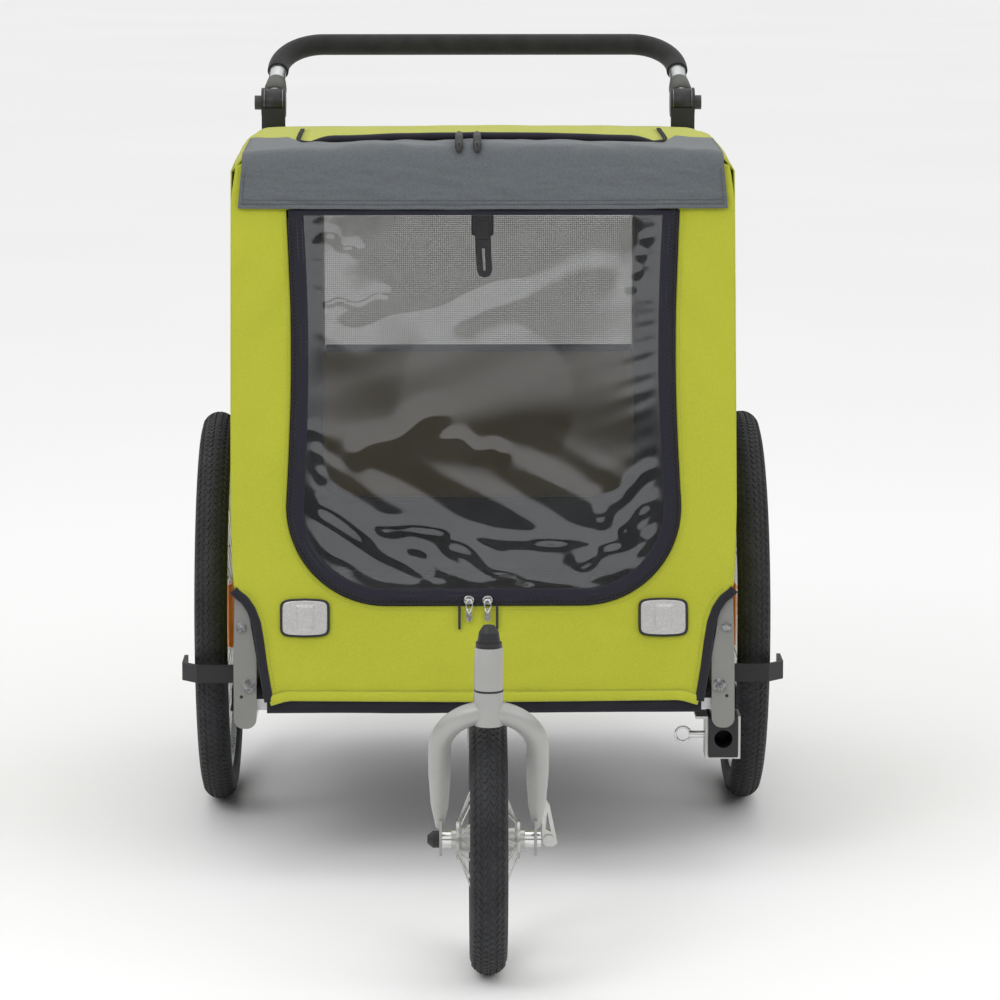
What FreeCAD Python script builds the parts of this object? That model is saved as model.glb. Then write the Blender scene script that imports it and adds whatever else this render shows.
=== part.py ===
import FreeCAD, Part
import math
import os
import re
import Sketcher

# Child bicycle trailer in stroller form. Millimetres, +Z up, the trailer faces -Y.
# The origin is on the ground, in the middle of the trailer's length and width.
# The sheet holds the driving sizes; cell B of each row carries the alias.
DIMENSIONS = {
    # running gear
    "rear_axle_y": 237,
    "wheelbase": 860,
    "track": 674,
    "rear_radius": 250,
    "front_radius": 148.5,
    "tyre_section": 21.5,
    "tyre_wall": 3,
    "rear_seat": 211.5,
    "front_seat": 110,
    "rim_depth": 16,
    "rim_half_width": 14,
    "spoke_radius": 1,
    "rear_axle_radius": 6.3,
    "front_axle_radius": 4.5,
    "running_gap": 0.05,
    # caster
    "caster_trail": 90,
    "fork_half_width": 53,
    "fork_tube_radius": 12.2,
    "fork_crown_z": 310,
    "taper_start": 88,
    "head_tube_bottom": 335,
    "head_tube_top": 381,
    "head_tube_radius": 15,
    "steerer_radius": 11,
    # chassis
    "rail_width": 25,
    "rail_inner": 272.5,
    "rail_bottom": 190,
    "rail_front": -189,
    "rail_rear": 610,
    "floor_thickness": 5,
    "boom_radius": 14,
    "hoop_radius": 9.5,
    "hoop_x": 286,
    # cabin
    "cabin_half_width": 303,
    "cloth": 3,
    "front_foot_y": -203,
    "front_foot_z": 210,
    "front_lean": 12.05,
    "front_slant": 667,
    "window_bottom": 119.6,
    "window_top": 594,
    "window_half_width": 235,
    "window_corner": 118,
    "band_width": 19,
    "hem_height": 598,
    "hem_foot": 9,
    "flap_half_width": 296,
    "cabin_rear_y": 620,
    "roof_front_z": 866,
    "roof_crown_z": 872,
    "roof_rear_z": 850,
    "seam_gap": 0.6,
    # push bar
    "knuckle_x": 279,
    "knuckle_y": 640,
    "knuckle_z": 872,
    "bar_radius": 11.5,
    "grip_radius": 14.5,
    "bar_reach": 137.3,
    "bar_slope": 32,
    "bar_bend": 62,
    # tow arm socket
    "socket_x": 287,
    "socket_z": 164,
    "socket_block": 36,
    "socket_radius": 10.9,
}

Sketch = Sketcher.Constraint
FORWARD = FreeCAD.Vector(1, 0, 0)
TURNS = {
    "x": FreeCAD.Rotation(FreeCAD.Vector(0, 1, 0), 90),
    "y": FreeCAD.Rotation(FreeCAD.Vector(1, 0, 0), -90),
    "z": FreeCAD.Rotation(),
}
ALIASES = re.compile(r"\b(" + "|".join(sorted(DIMENSIONS, key=len, reverse=True)) + r")\b")

doc = FreeCAD.newDocument("child_trailer")
sheet = doc.addObject("Spreadsheet::Sheet", "dims")
for row, (alias, size) in enumerate(DIMENSIONS.items(), start=1):
    sheet.set(f"A{row}", alias.replace("_", " "))
    sheet.set(f"B{row}", str(size))
    sheet.setAlias(f"B{row}", alias)
doc.recompute()

nodes = []


def bound(expression):
    """An expression in sheet names, in the form the document reads."""
    return ALIASES.sub(r"dims.\1", str(expression))


def number(expression):
    return float(sheet.evalExpression(bound(expression)))


def place(item, at, turn=None):
    """Puts an item at a point given in sheet names, turned by a fixed rotation."""
    if turn is not None:
        item.Placement = FreeCAD.Placement(FreeCAD.Vector(), turn)
    for letter, expression in zip("xyz", at):
        item.setExpression("Placement.Base." + letter, bound(expression))
    return item


def keep(name, item, at=None, turn=None):
    """Names a finished sub-part; it is exported under this name."""
    if at is not None:
        place(item, at, turn)
    item.Label = name
    nodes.append((name, item))
    return item


# ---- solids from primitives ----

def primitive(kind, name, at, turn=None, **sizes):
    item = doc.addObject(kind, name)
    for size, expression in sizes.items():
        item.setExpression(size, bound(expression))
    return place(item, at, turn)


def box(name, low, high):
    spans = [f"({b}) - ({a})" for a, b in zip(low, high)]
    return primitive("Part::Box", name, low, Length=spans[0], Width=spans[1], Height=spans[2])


def rod(name, start, axis, radius, length):
    return primitive("Part::Cylinder", name, start, TURNS[axis], Radius=radius, Height=length)


def cone(name, start, axis, radius_1, radius_2, length):
    return primitive(
        "Part::Cone", name, start, TURNS[axis], Radius1=radius_1, Radius2=radius_2, Height=length
    )


def joined(name, *shapes):
    item = doc.addObject("Part::MultiFuse", name)
    item.Shapes = list(shapes)
    return item


def cut(name, base, *tools):
    item = doc.addObject("Part::Cut", name)
    item.Base = base
    item.Tool = tools[0] if len(tools) == 1 else joined(name + "_tools", *tools)
    return item


def mirrored(name, source):
    item = doc.addObject("Part::Mirroring", name)
    item.Source = source
    item.Normal = FORWARD
    return item


def softened(name, base, radius):
    """Rounds every edge of a plain block."""
    item = doc.addObject("Part::Fillet", name)
    item.Base = base
    doc.recompute()
    item.Edges = [(n + 1, number(radius), number(radius)) for n in range(len(base.Shape.Edges))]
    return item


# ---- solids from sketches ----

def sketch_on(body, plane, name):
    sketch = body.newObject("Sketcher::SketchObject", name)
    planes = {f.Role: f for f in body.Origin.OriginFeatures}
    sketch.AttachmentSupport = [(planes[plane], "")]
    sketch.MapMode = "FlatFace"
    return sketch


def add_loop(sketch, corners):
    """A closed polygon whose corners are tied to the sheet."""
    points = [FreeCAD.Vector(number(u), number(v), 0) for u, v in corners]
    first = sketch.GeometryCount
    count = len(points)
    for n, point in enumerate(points):
        sketch.addGeometry(Part.LineSegment(point, points[(n + 1) % count]))
    for n in range(count):
        follower = first + (n + 1) % count
        sketch.addConstraint(Sketch("Coincident", first + n, 2, follower, 1))
    for n, (u, v) in enumerate(corners):
        for kind, expression in (("DistanceX", u), ("DistanceY", v)):
            index = sketch.addConstraint(
                Sketch(kind, -1, 1, first + n, 1, number(expression))
            )
            sketch.setExpression(f"Constraints[{index}]", bound(expression))


def add_circle(sketch, centre, radius):
    point = FreeCAD.Vector(number(centre[0]), number(centre[1]), 0)
    circle = sketch.addGeometry(
        Part.Circle(point, FreeCAD.Vector(0, 0, 1), number(radius))
    )
    index = sketch.addConstraint(Sketch("Radius", circle, number(radius)))
    sketch.setExpression(f"Constraints[{index}]", bound(radius))
    for kind, expression in zip(("DistanceX", "DistanceY"), centre):
        index = sketch.addConstraint(Sketch(kind, -1, 1, circle, 3, number(expression)))
        sketch.setExpression(f"Constraints[{index}]", bound(expression))


def rounded(body, feature, plane, radius, corners):
    """Rounds the straight edges that stand on the given sketch corners."""
    doc.recompute()
    seen = {"XY_Plane": (0, 1), "XZ_Plane": (0, 2), "YZ_Plane": (1, 2)}[plane]
    wanted = [(number(u), number(v)) for u, v in corners]
    edges = []
    for n, edge in enumerate(feature.Shape.Edges):
        ends = [[vertex.Point[axis] for axis in seen] for vertex in edge.Vertexes]
        if len(ends) == 2 and math.dist(*ends) < 0.01:
            if any(math.dist(ends[0], corner) < 0.01 for corner in wanted):
                edges.append(f"Edge{n + 1}")
    fillet = body.newObject("PartDesign::Fillet", feature.Name + "_round")
    fillet.Base = (feature, edges)
    fillet.setExpression("Radius", bound(radius))
    return fillet


def plate(name, plane, corners, depth, holes=(), circles=(), rounds=(), back=False, both=False):
    """A padded outline with openings. rounds: (radius, corners) pairs, one fillet each."""
    body = doc.addObject("PartDesign::Body", name)
    sketch = sketch_on(body, plane, name + "_outline")
    add_loop(sketch, corners)
    for hole in holes:
        add_loop(sketch, hole)
    for centre, radius in circles:
        add_circle(sketch, centre, radius)
    pad = body.newObject("PartDesign::Pad", name + "_pad")
    pad.Profile = sketch
    pad.setExpression("Length", bound(depth))
    pad.Reversed = back
    pad.Midplane = both
    tip = pad
    for radius, where in rounds:
        tip = rounded(body, tip, plane, radius, where)
    body.Tip = tip
    doc.recompute()
    return body


def turned(name, loops):
    """A ring about the X axis from (x, radius) loops."""
    body = doc.addObject("PartDesign::Body", name)
    sketch = sketch_on(body, "XZ_Plane", name + "_profile")
    for loop in loops:
        add_loop(sketch, loop)
    ring = body.newObject("PartDesign::Revolution", name + "_ring")
    ring.Profile = sketch
    ring.ReferenceAxis = (sketch, ["H_Axis"])
    ring.Angle = 360
    body.Tip = ring
    doc.recompute()
    return body


def bent_path(sketch, points, bend):
    """Straight runs joined by bends of one radius; returns the edge names."""
    points = [FreeCAD.Vector(number(u), number(v), 0) for u, v in points]
    start = points[0]
    for before, corner, after in zip(points, points[1:], points[2:]):
        back = (before - corner).normalize()
        ahead = (after - corner).normalize()
        half = back.getAngle(ahead) / 2
        reach = number(bend) / math.tan(half)
        enter = corner + back * reach
        leave = corner + ahead * reach
        centre = corner + (back + ahead).normalize() * (number(bend) / math.sin(half))
        middle = centre + (corner - centre).normalize() * number(bend)
        sketch.addGeometry(Part.LineSegment(start, enter))
        sketch.addGeometry(Part.Arc(enter, middle, leave))
        start = leave
    sketch.addGeometry(Part.LineSegment(start, points[-1]))
    for n in range(sketch.GeometryCount):
        sketch.addConstraint(Sketch("Block", n))
    return [f"Edge{n + 1}" for n in range(sketch.GeometryCount)]


def bent_tube(name, plane, points, bend, radius, wall=None):
    """A round tube or bar along a bent path in one plane."""
    body = doc.addObject("PartDesign::Body", name)
    path = sketch_on(body, plane, name + "_path")
    edges = bent_path(path, points, bend)
    doc.recompute()
    ring = body.newObject("Sketcher::SketchObject", name + "_section")
    ring.AttachmentSupport = [(path, "Edge1")]
    ring.MapMode = "NormalToEdge"
    ring.MapPathParameter = 0
    add_circle(ring, ("0", "0"), radius)
    if wall is not None:
        add_circle(ring, ("0", "0"), f"{radius} - {wall}")
    pipe = body.newObject("PartDesign::AdditivePipe", name + "_pipe")
    pipe.Profile = ring
    pipe.Spine = (path, edges)
    body.Tip = pipe
    doc.recompute()
    return body


# ---- wheels ----

def wheel(tag, centre, radius, seat, width, flange, barrel, bore, spokes):
    """Tyre, rim and laced hub about a centre; all three turn together."""
    ring = f"{radius} - tyre_section"
    outer = primitive("Part::Torus", tag + "_tyre_outer", centre, TURNS["x"],
                      Radius1=ring, Radius2="tyre_section")
    inner = primitive("Part::Torus", tag + "_tyre_inner", centre, TURNS["x"],
                      Radius1=ring, Radius2="tyre_section - tyre_wall")
    x, y, z = centre
    core = rod(tag + "_tyre_core", (f"{x} - 40", y, z), "x", seat, "80")
    keep(tag + "_tyre", cut(tag + "_tyre_cut", outer, inner, core))

    wide, narrow = "rim_half_width", "rim_half_width - 6"
    bed = f"{seat} - rim_depth"
    rim = turned(tag + "_rim_body", [
        [(f"-{wide}", seat), (wide, seat), (wide, f"{seat} - 8"), (narrow, bed),
         (f"-({narrow})", bed), (f"-{wide}", f"{seat} - 8")],
        [(f"-{wide} + 2", f"{seat} - 3"), (f"{wide} - 2", f"{seat} - 3"),
         (f"{wide} - 2", f"{seat} - 7.5"), (f"{narrow} - 1", f"{bed} + 2"),
         (f"-({narrow} - 1)", f"{bed} + 2"), (f"-{wide} + 2", f"{seat} - 7.5")],
    ])
    keep(tag + "_rim", rim, centre)

    flange_x = f"({width} - 5)"
    barrel_body = turned(tag + "_hub_body", [[
        (f"-{width}", bore), (width, bore), (width, f"{barrel} - 3"),
        (flange_x, f"{barrel} - 3"), (flange_x, flange), (f"{flange_x} - 3", flange),
        (f"{flange_x} - 6", barrel), (f"-{flange_x} + 6", barrel),
        (f"-{flange_x} + 3", flange), (f"-{flange_x}", flange),
        (f"-{flange_x}", f"{barrel} - 3"), (f"-{width}", f"{barrel} - 3"),
    ]])
    wires = []
    for n in range(spokes):
        side = 1 if n % 2 else -1
        angle = 2 * math.pi * n / spokes
        lacing = angle + (0.42 if n % 4 < 2 else -0.42)
        hole = FreeCAD.Vector(
            side * number(f"{flange_x} - 1.5"),
            number(f"{flange} - 4") * math.cos(lacing),
            number(f"{flange} - 4") * math.sin(lacing),
        )
        nipple = FreeCAD.Vector(
            side * 2, number(f"{bed} + 1") * math.cos(angle), number(f"{bed} + 1") * math.sin(angle)
        )
        wire = doc.addObject("Part::Cylinder", f"{tag}_spoke_{n}")
        wire.setExpression("Radius", bound("spoke_radius"))
        wire.Height = (nipple - hole).Length
        wire.Placement = FreeCAD.Placement(
            hole, FreeCAD.Rotation(FreeCAD.Vector(0, 0, 1), nipple - hole)
        )
        wires.append(wire)
    keep(tag + "_hub", joined(tag + "_hub_laced", barrel_body, *wires), centre)


rear_bore = "rear_axle_radius + running_gap"
wheel("rear_left", ("track / 2", "rear_axle_y", "rear_radius"), "rear_radius", "rear_seat",
      "26", "29", "15", rear_bore, 28)
wheel("rear_right", ("-track / 2", "rear_axle_y", "rear_radius"), "rear_radius", "rear_seat",
      "26", "29", "15", rear_bore, 28)
wheel("front", ("0", "rear_axle_y - wheelbase", "front_radius"), "front_radius", "front_seat",
      "40", "22", "14", "front_axle_radius + running_gap", 20)

# Rear wheel pins: a headed pin through each hub into the boss on the side rail.
pins = []
for side in ("", "-"):
    start = "track / 2 - 36" if not side else "-track / 2 - 27"
    pin = rod("axle_pin" + side.replace("-", "_b"), (start, "rear_axle_y", "rear_radius"), "x",
              "rear_axle_radius", "63")
    head_start = "track / 2 + 26.4" if not side else "-track / 2 - 31.4"
    head = rod("axle_head" + side.replace("-", "_b"), (head_start, "rear_axle_y", "rear_radius"),
               "x", "11", "5")
    pins += [pin, head]
keep("rear_axle_pins", joined("rear_axle_pins_all", *pins))

# ---- caster fork ----

fork_y = "rear_axle_y - wheelbase - caster_trail"
fork_drop = "(fork_crown_z - front_radius)"
fork_angle = math.degrees(math.atan2(number("caster_trail"), number(fork_drop)))
fork_length = math.hypot(number("caster_trail"), number(fork_drop))
leg_turn = FreeCAD.Rotation(FORWARD, fork_angle)
arch = bent_tube("fork_arch", "XZ_Plane", [
    ("-fork_half_width", "-taper_start"), ("-fork_half_width", "0"),
    ("fork_half_width", "0"), ("fork_half_width", "-taper_start"),
], "fork_half_width - 1", "fork_tube_radius")
legs = [arch]
for tag, side in (("a", ""), ("b", "-")):
    legs.append(cone("leg_taper_" + tag, (f"{side}fork_half_width", "0", "-taper_start - 44"), "z",
                     "9.8", "fork_tube_radius", "44"))
    legs.append(cone("leg_tip_" + tag, (f"{side}fork_half_width", "0", "-taper_start - 78"), "z",
                     "4.4", "9.8", "34"))
legs = place(joined("fork_legs", *legs), ("0", fork_y, "fork_crown_z"), leg_turn)
crown = rod("fork_crown", ("0", fork_y, "fork_crown_z - 14"), "z", "15.4",
            "head_tube_bottom - fork_crown_z + 12")
steerer = rod("steerer", ("0", fork_y, "head_tube_bottom - 10"), "z", "steerer_radius",
              "head_tube_top - head_tube_bottom + 16")
dropouts = []
for tag, x in (("a", "50.5"), ("b", "-53.5")):
    tab = box("dropout_" + tag, ("0", "-11", "-15"), ("3", "11", "36"))
    slot = rod("dropout_hole_" + tag, ("-1", "0", "0"), "x", "5", "5")
    mouth = box("dropout_mouth_" + tag, ("-1", "-5", "-16"), ("4", "5", "0"))
    tab = cut("dropout_cut_" + tag, tab, slot, mouth)
    place(tab, (x, "rear_axle_y - wheelbase", "front_radius"), leg_turn)
    dropouts.append(tab)
keep("caster_fork", joined("caster_fork_all", legs, crown, steerer, *dropouts))
ring = cut("seal_ring_cut", rod("seal_ring", ("0", fork_y, "head_tube_bottom - 2"), "z", "15.6", "1.6"),
           rod("seal_bore", ("0", fork_y, "head_tube_bottom - 3"), "z", "steerer_radius + 0.02", "4"))
keep("caster_seal", ring)
cap = joined(
    "cap_all",
    rod("cap_flange", ("0", fork_y, "head_tube_top + 0.4"), "z", "14", "5"),
    cone("cap_skirt", ("0", fork_y, "head_tube_top + 5.4"), "z", "12.4", "10.6", "11"),
    cone("cap_dome", ("0", fork_y, "head_tube_top + 16.4"), "z", "10.6", "6.2", "7"),
)
cap_room = rod("cap_room", ("0", fork_y, "head_tube_top"), "z", "steerer_radius + 0.02", "6.2")
keep("head_cap", cut("head_cap_cut", cap, cap_room))

# Front axle with its cones, the domed nut on one end and the cam lever on the other.
front_y = "rear_axle_y - wheelbase"
keep("front_axle", joined(
    "front_axle_all",
    rod("front_pin", ("-60", front_y, "front_radius"), "x", "front_axle_radius", "118"),
    rod("front_cone_a", ("40.4", front_y, "front_radius"), "x", "9", "10"),
    rod("front_cone_b", ("-50.4", front_y, "front_radius"), "x", "9", "10"),
    rod("front_cam", ("53.6", front_y, "front_radius"), "x", "9", "4.4"),
))
nut = joined(
    "nut_all",
    rod("nut_body", ("-60.6", front_y, "front_radius"), "x", "9.4", "7"),
    cone("nut_dome", ("-66.6", front_y, "front_radius"), "x", "4.6", "9.4", "6"),
)
nut_room = rod("nut_room", ("-60.5", front_y, "front_radius"), "x",
               "front_axle_radius + running_gap", "8")
keep("axle_nut", cut("nut_cut", nut, nut_room))
lever_line = [
    ("-6.5", "-4"), ("-3", "-7.5"), ("5", "-7.5"), ("9.5", "-4"), ("1", "38"), ("-4", "46"),
    ("-9", "44"), ("-8.6", "34"), ("-7.4", "10"),
]
lever_arm = plate("lever_arm", "XZ_Plane", lever_line, "9", both=True,
                  rounds=[("2.5", [("-4", "46"), ("-9", "44")])])
lever_slot = plate("lever_slot", "XZ_Plane", [("-3.5", "12"), ("2.5", "9"), ("-2", "32")], "20", both=True)
lever_cam = rod("lever_cam", ("0", "-7", "0"), "y", "6", "14")
keep("quick_release_lever", joined("lever_all", cut("lever_cut", lever_arm, lever_slot), lever_cam),
     ("66.6", front_y, "front_radius"))

# ---- chassis ----

rail_outer = "rail_inner + rail_width"
rail_top = "rail_bottom + rail_width"
rail = box("rail_bar", ("rail_inner", "rail_front", "rail_bottom"),
           (rail_outer, "rail_rear", rail_top))
hollow = box("rail_hollow", ("rail_inner + 2", "rail_front - 1", "rail_bottom + 2"),
             (f"{rail_outer} - 2", "rail_rear + 1", f"{rail_top} - 2"))
ear = box("rail_ear", (f"{rail_outer} - 6", "rear_axle_y - 20", rail_top),
          (rail_outer, "rear_axle_y + 20", "rear_radius + 19"))
boss = rod("rail_boss", (f"{rail_outer} - 12", "rear_axle_y", "rear_radius"), "x", "15",
           "track / 2 - 26.6 - rail_inner - rail_width + 12")
boss_bore = rod("rail_boss_bore", (f"{rail_outer} - 13", "rear_axle_y", "rear_radius"), "x",
                "rear_axle_radius", "40")
rail_left = keep("floor_rail_left",
                 cut("rail_cut", joined("rail_weld", cut("rail_tube", rail, hollow), ear, boss),
                     boss_bore))
keep("floor_rail_right", mirrored("rail_mirror", rail_left))

for name, y in (("front", "rail_front + 4"), ("rear", "rail_rear - 34")):
    bar = box(name + "_bar", ("-rail_inner", y, "rail_bottom + 10.5"),
              ("rail_inner", f"{y} + rail_width", f"{rail_top} - 1"))
    room = box(name + "_bar_room", ("-rail_inner - 1", f"{y} + 2", "rail_bottom + 12.5"),
               ("rail_inner + 1", f"{y} + rail_width - 2", f"{rail_top} - 3"))
    keep(name + "_crossbar", cut(name + "_bar_cut", bar, room))

keep("floor_board", plate("floor_board_body", "XY_Plane", [
    ("-rail_inner - 2", "rail_front + 4"), ("rail_inner + 2", "rail_front + 4"),
    ("rail_inner + 2", "rail_rear"), ("-rail_inner - 2", "rail_rear"),
], "floor_thickness"), ("0", "0", rail_top))

# Black skirt round the foot of the cabin, open where the frame passes through it.
skirt = cut("skirt_ring",
            box("skirt_outer", ("-cabin_half_width", "front_foot_y", "rail_bottom + 9.5"),
                ("cabin_half_width", "cabin_rear_y", "front_foot_z + 17")),
            box("skirt_inner", ("-cabin_half_width + cloth", "front_foot_y + cloth", "100"),
                ("cabin_half_width - cloth", "cabin_rear_y - cloth", "400")))
skirt_gaps = [
    box("skirt_front_gap", ("-400", "front_foot_y - 9", "front_foot_z + hem_foot - 1.5"),
        ("400", "front_foot_y + 20", "400")),
    box("skirt_left_corner", ("rail_inner - 12", "front_foot_y - 9", "100"),
        ("400", "rail_front + 3", "400")),
    box("skirt_right_corner", ("-400", "front_foot_y - 9", "100"),
        ("-rail_inner + 12", "rail_front + 3", "400")),
    box("skirt_bumper_gap", ("-400", "-51", "203"), ("400", "-36", "400")),
]
keep("base_skirt", cut("skirt_cut", skirt, *skirt_gaps))

# ---- front frame brackets, hoops and roof bars ----

LEAN = FreeCAD.Rotation(FORWARD, -number("front_lean"))
FRONT_FOOT = ("0", "front_foot_y", "front_foot_z")
bracket = plate("bracket_plate", "XZ_Plane", [
    ("272", "-28"), ("299", "-28"), ("299.5", "60"), ("298", "140"), ("285", "140"), ("279", "96"),
    ("272", "56"),
], "4", circles=[(("290", "93"), "3.1"), (("281", "23"), "3.1"), (("290", "10"), "2")], back=True,
    rounds=[("12", [("272", "-28"), ("299", "-28")]), ("6", [("298", "140"), ("285", "140")])])
stub = rod("bracket_stub", ("hoop_x", "25", "64"), "z", "hoop_radius - 2.1", "80")
web = box("bracket_web", ("hoop_x - 9", "8", "46"), ("hoop_x + 9", "34.4", "80"))
front_bracket = joined("front_bracket_weld", place(bracket, ("0", "4", "0")), web, stub)
front_left = keep("front_bracket_left", front_bracket, FRONT_FOOT, LEAN)
doc.recompute()
keep("front_bracket_right", mirrored("front_bracket_mirror", front_left))

hoop = bent_tube("hoop_tube", "YZ_Plane", [
    ("front_foot_y + 43.3", "front_foot_z + 83.5"), ("-42.5", "843"), ("137", "846"),
    ("600", "826"), ("600", "rail_bottom + rail_width + 60"),
], "58", "hoop_radius", "1.8")
hoop_left = keep("side_hoop_left", hoop, ("hoop_x", "0", "0"))
doc.recompute()
keep("side_hoop_right", mirrored("side_hoop_mirror", hoop_left))

rear_parts = []
for tag, x in (("a", "hoop_x"), ("b", "-hoop_x")):
    foot = box("rear_foot_" + tag, (f"{x} - 11", "588", rail_top),
               (f"{x} + 11", "610", "rail_bottom + rail_width + 50"))
    spigot = rod("rear_spigot_" + tag, (x, "600", f"{rail_top} + 40"), "z", "hoop_radius - 1.8", "60")
    rear_parts += [foot, spigot]
keep("rear_brackets", joined("rear_brackets_all", *rear_parts))

for name, y, z in (("front", "-8", "848"), ("rear", "566", "830")):
    tube = rod(f"roof_bar_{name}_tube", ("-hoop_x + hoop_radius", y, z), "x", "8",
               "2 * (hoop_x - hoop_radius)")
    tube_bore = rod(f"roof_bar_{name}_bore", ("-hoop_x", y, z), "x", "6.6", "2 * hoop_x")
    keep(f"roof_bar_{name}", cut(f"roof_bar_{name}_cut", tube, tube_bore))

bolts = []
for side in (1, -1):
    for reach, height, radius in ((281, 23, 8), (290, 93, 6)):
        tag = f"{'a' if side > 0 else 'b'}{height}"
        bolts.append(rod("bolt_" + tag, (f"{side} * {reach}", "0.8", str(height)), "y", str(radius), "3.2"))
        bolts.append(rod("shank_" + tag, (f"{side} * {reach}", "3", str(height)), "y", "3", "5"))
bolt_group = joined("frame_bolts_all", *bolts)
keep("frame_bolts", bolt_group, FRONT_FOOT, LEAN)

# Side bumpers in front of the rear tyres.
bumper = plate("bumper_bar", "XY_Plane", [
    (rail_outer, "-46"), ("352", "-46"), ("371", "-27"), ("371", "22"), ("366", "22"),
    ("366", "-25"), ("350", "-41"), (rail_outer, "-41"),
], "22", rounds=[("2", [("371", "22"), ("366", "22")])])
bumper_left = keep("bumper_left", bumper, ("0", "0", "205"))
doc.recompute()
keep("bumper_right", mirrored("bumper_mirror", bumper_left))

# ---- tow arm socket ----

block = softened("socket_soft", box("socket_block_box", (
    "socket_x - socket_block / 2", "-188", "socket_z - 23"), (
    "socket_x + socket_block / 2", "-128", "rail_bottom")), "2")
socket = rod("socket_hole", ("socket_x", "-189", "socket_z"), "y", "socket_radius", "50")
pin_hole = rod("socket_pin_hole", ("socket_x - 30", "-160", "socket_z"), "x", "4.35", "30")
keep("tow_socket", cut("tow_socket_cut", block, socket, pin_hole))
strap_low = "socket_z - 23 - 3"
strap_side = "socket_x - socket_block / 2 - 3"
clevis = [
    box("clevis_left", (strap_side, "-180", strap_low),
        ("socket_x - socket_block / 2", "-138", "rail_bottom")),
    box("clevis_foot", (strap_side, "-180", strap_low),
        ("socket_x + socket_block / 2 + 3", "-138", "socket_z - 23")),
    box("clevis_right", ("socket_x + socket_block / 2", "-180", strap_low),
        ("socket_x + socket_block / 2 + 3", "-138", "rail_bottom")),
    box("clevis_tab", (f"{strap_side} - 12", "-180", "rail_bottom - 3"),
        (strap_side, "-138", "rail_bottom")),
]
clevis_hole = rod("clevis_hole", ("socket_x - 40", "-160", "socket_z"), "x", "4.35", "30")
keep("socket_clevis", cut("clevis_cut", joined("clevis_all", *clevis), clevis_hole))
pin_ring = primitive("Part::Torus", "lock_pin_ring", ("socket_x - 47", "-160", "socket_z"),
                     TURNS["y"], Radius1="9", Radius2="1.6")
lock_pin = joined("lock_pin_all", pin_ring,
                  rod("lock_pin_rod", ("socket_x - 40", "-160", "socket_z"), "x", "4.3", "28.6"))
keep("tow_lock_pin", lock_pin)

# ---- front boom ----

boom_tube = bent_tube("boom_tube", "YZ_Plane", [
    (f"{fork_y} + 8", "358"), (f"{fork_y} + 250", "318"), ("-215", "172"), ("60", "172"),
], "70", "boom_radius", "2.5")
head = rod("head_tube", ("0", fork_y, "head_tube_bottom"), "z", "head_tube_radius",
           "head_tube_top - head_tube_bottom")
head_bore = rod("head_bore", ("0", fork_y, "head_tube_bottom - 30"), "z",
                "steerer_radius + running_gap", "120")
boom_hole = rod("boom_pin_hole", ("0", "-60", "150"), "z", "4.35", "12")
keep("front_boom", cut("front_boom_cut", joined("front_boom_weld", boom_tube, head),
                       head_bore, boom_hole))
sleeve = box("sleeve_box", ("-20", "-180", "152"), ("20", "70", "rail_bottom"))
sleeve_bore = rod("sleeve_bore", ("0", "-181", "172"), "y", "boom_radius + 0.1", "252")
sleeve_pin = rod("sleeve_pin_hole", ("0", "-60", "150"), "z", "4.35", "10")
keep("boom_sleeve", cut("sleeve_cut", sleeve, sleeve_bore, sleeve_pin))
keep("boom_lock_pin", joined("boom_lock_all",
                             rod("boom_lock_rod", ("0", "-60", "138"), "z", "4.3", "22"),
                             rod("boom_lock_knob", ("0", "-60", "128"), "z", "10", "12")))

# ---- cabin cloth ----

door_loop = [
    ("-window_half_width", "window_bottom"), ("window_half_width", "window_bottom"),
    ("window_half_width", "window_top"), ("-window_half_width", "window_top"),
]
opening = [
    ("-window_half_width - 1", "window_bottom - 1"), ("window_half_width + 1", "window_bottom - 1"),
    ("window_half_width + 1", "window_top + 1"), ("-window_half_width - 1", "window_top + 1"),
]
front_corners = [
    ("-257", "hem_foot"), ("257", "hem_foot"), ("266", "90"), ("277", "118"), ("292", "129"),
    ("cabin_half_width", "129"), ("cabin_half_width", "front_slant"),
    ("-cabin_half_width", "front_slant"), ("-cabin_half_width", "129"), ("-292", "129"),
    ("-277", "118"), ("-266", "90"),
]
keep("front_panel", plate("front_panel_body", "XZ_Plane", front_corners, "cloth", holes=[opening],
                          back=True, rounds=[("window_corner + 1", opening[:2])]),
     FRONT_FOOT, LEAN)

band = "band_width"
pane_loop = [
    (f"-window_half_width + {band}", f"window_bottom + {band}"),
    (f"window_half_width - {band}", f"window_bottom + {band}"),
    (f"window_half_width - {band}", "window_top - 6"),
    (f"-window_half_width + {band}", "window_top - 6"),
]
door = plate("front_door_body", "XZ_Plane", door_loop, "cloth", holes=[pane_loop], back=True,
             rounds=[("window_corner", door_loop[:2]), ("window_corner - band_width", pane_loop[:2])])
door_bead = rod("front_door_bead", ("-window_half_width", "1.5", "window_top - 2"), "x", "2",
                "2 * window_half_width")
keep("front_door", joined("front_door_all", door, door_bead), FRONT_FOOT, LEAN)
keep("front_window", plate("front_window_body", "XZ_Plane", pane_loop, "1", back=True,
                           rounds=[("window_corner - band_width", pane_loop[:2])]),
     ("0", "front_foot_y + 0.978", "front_foot_z - 0.209"), LEAN)

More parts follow.
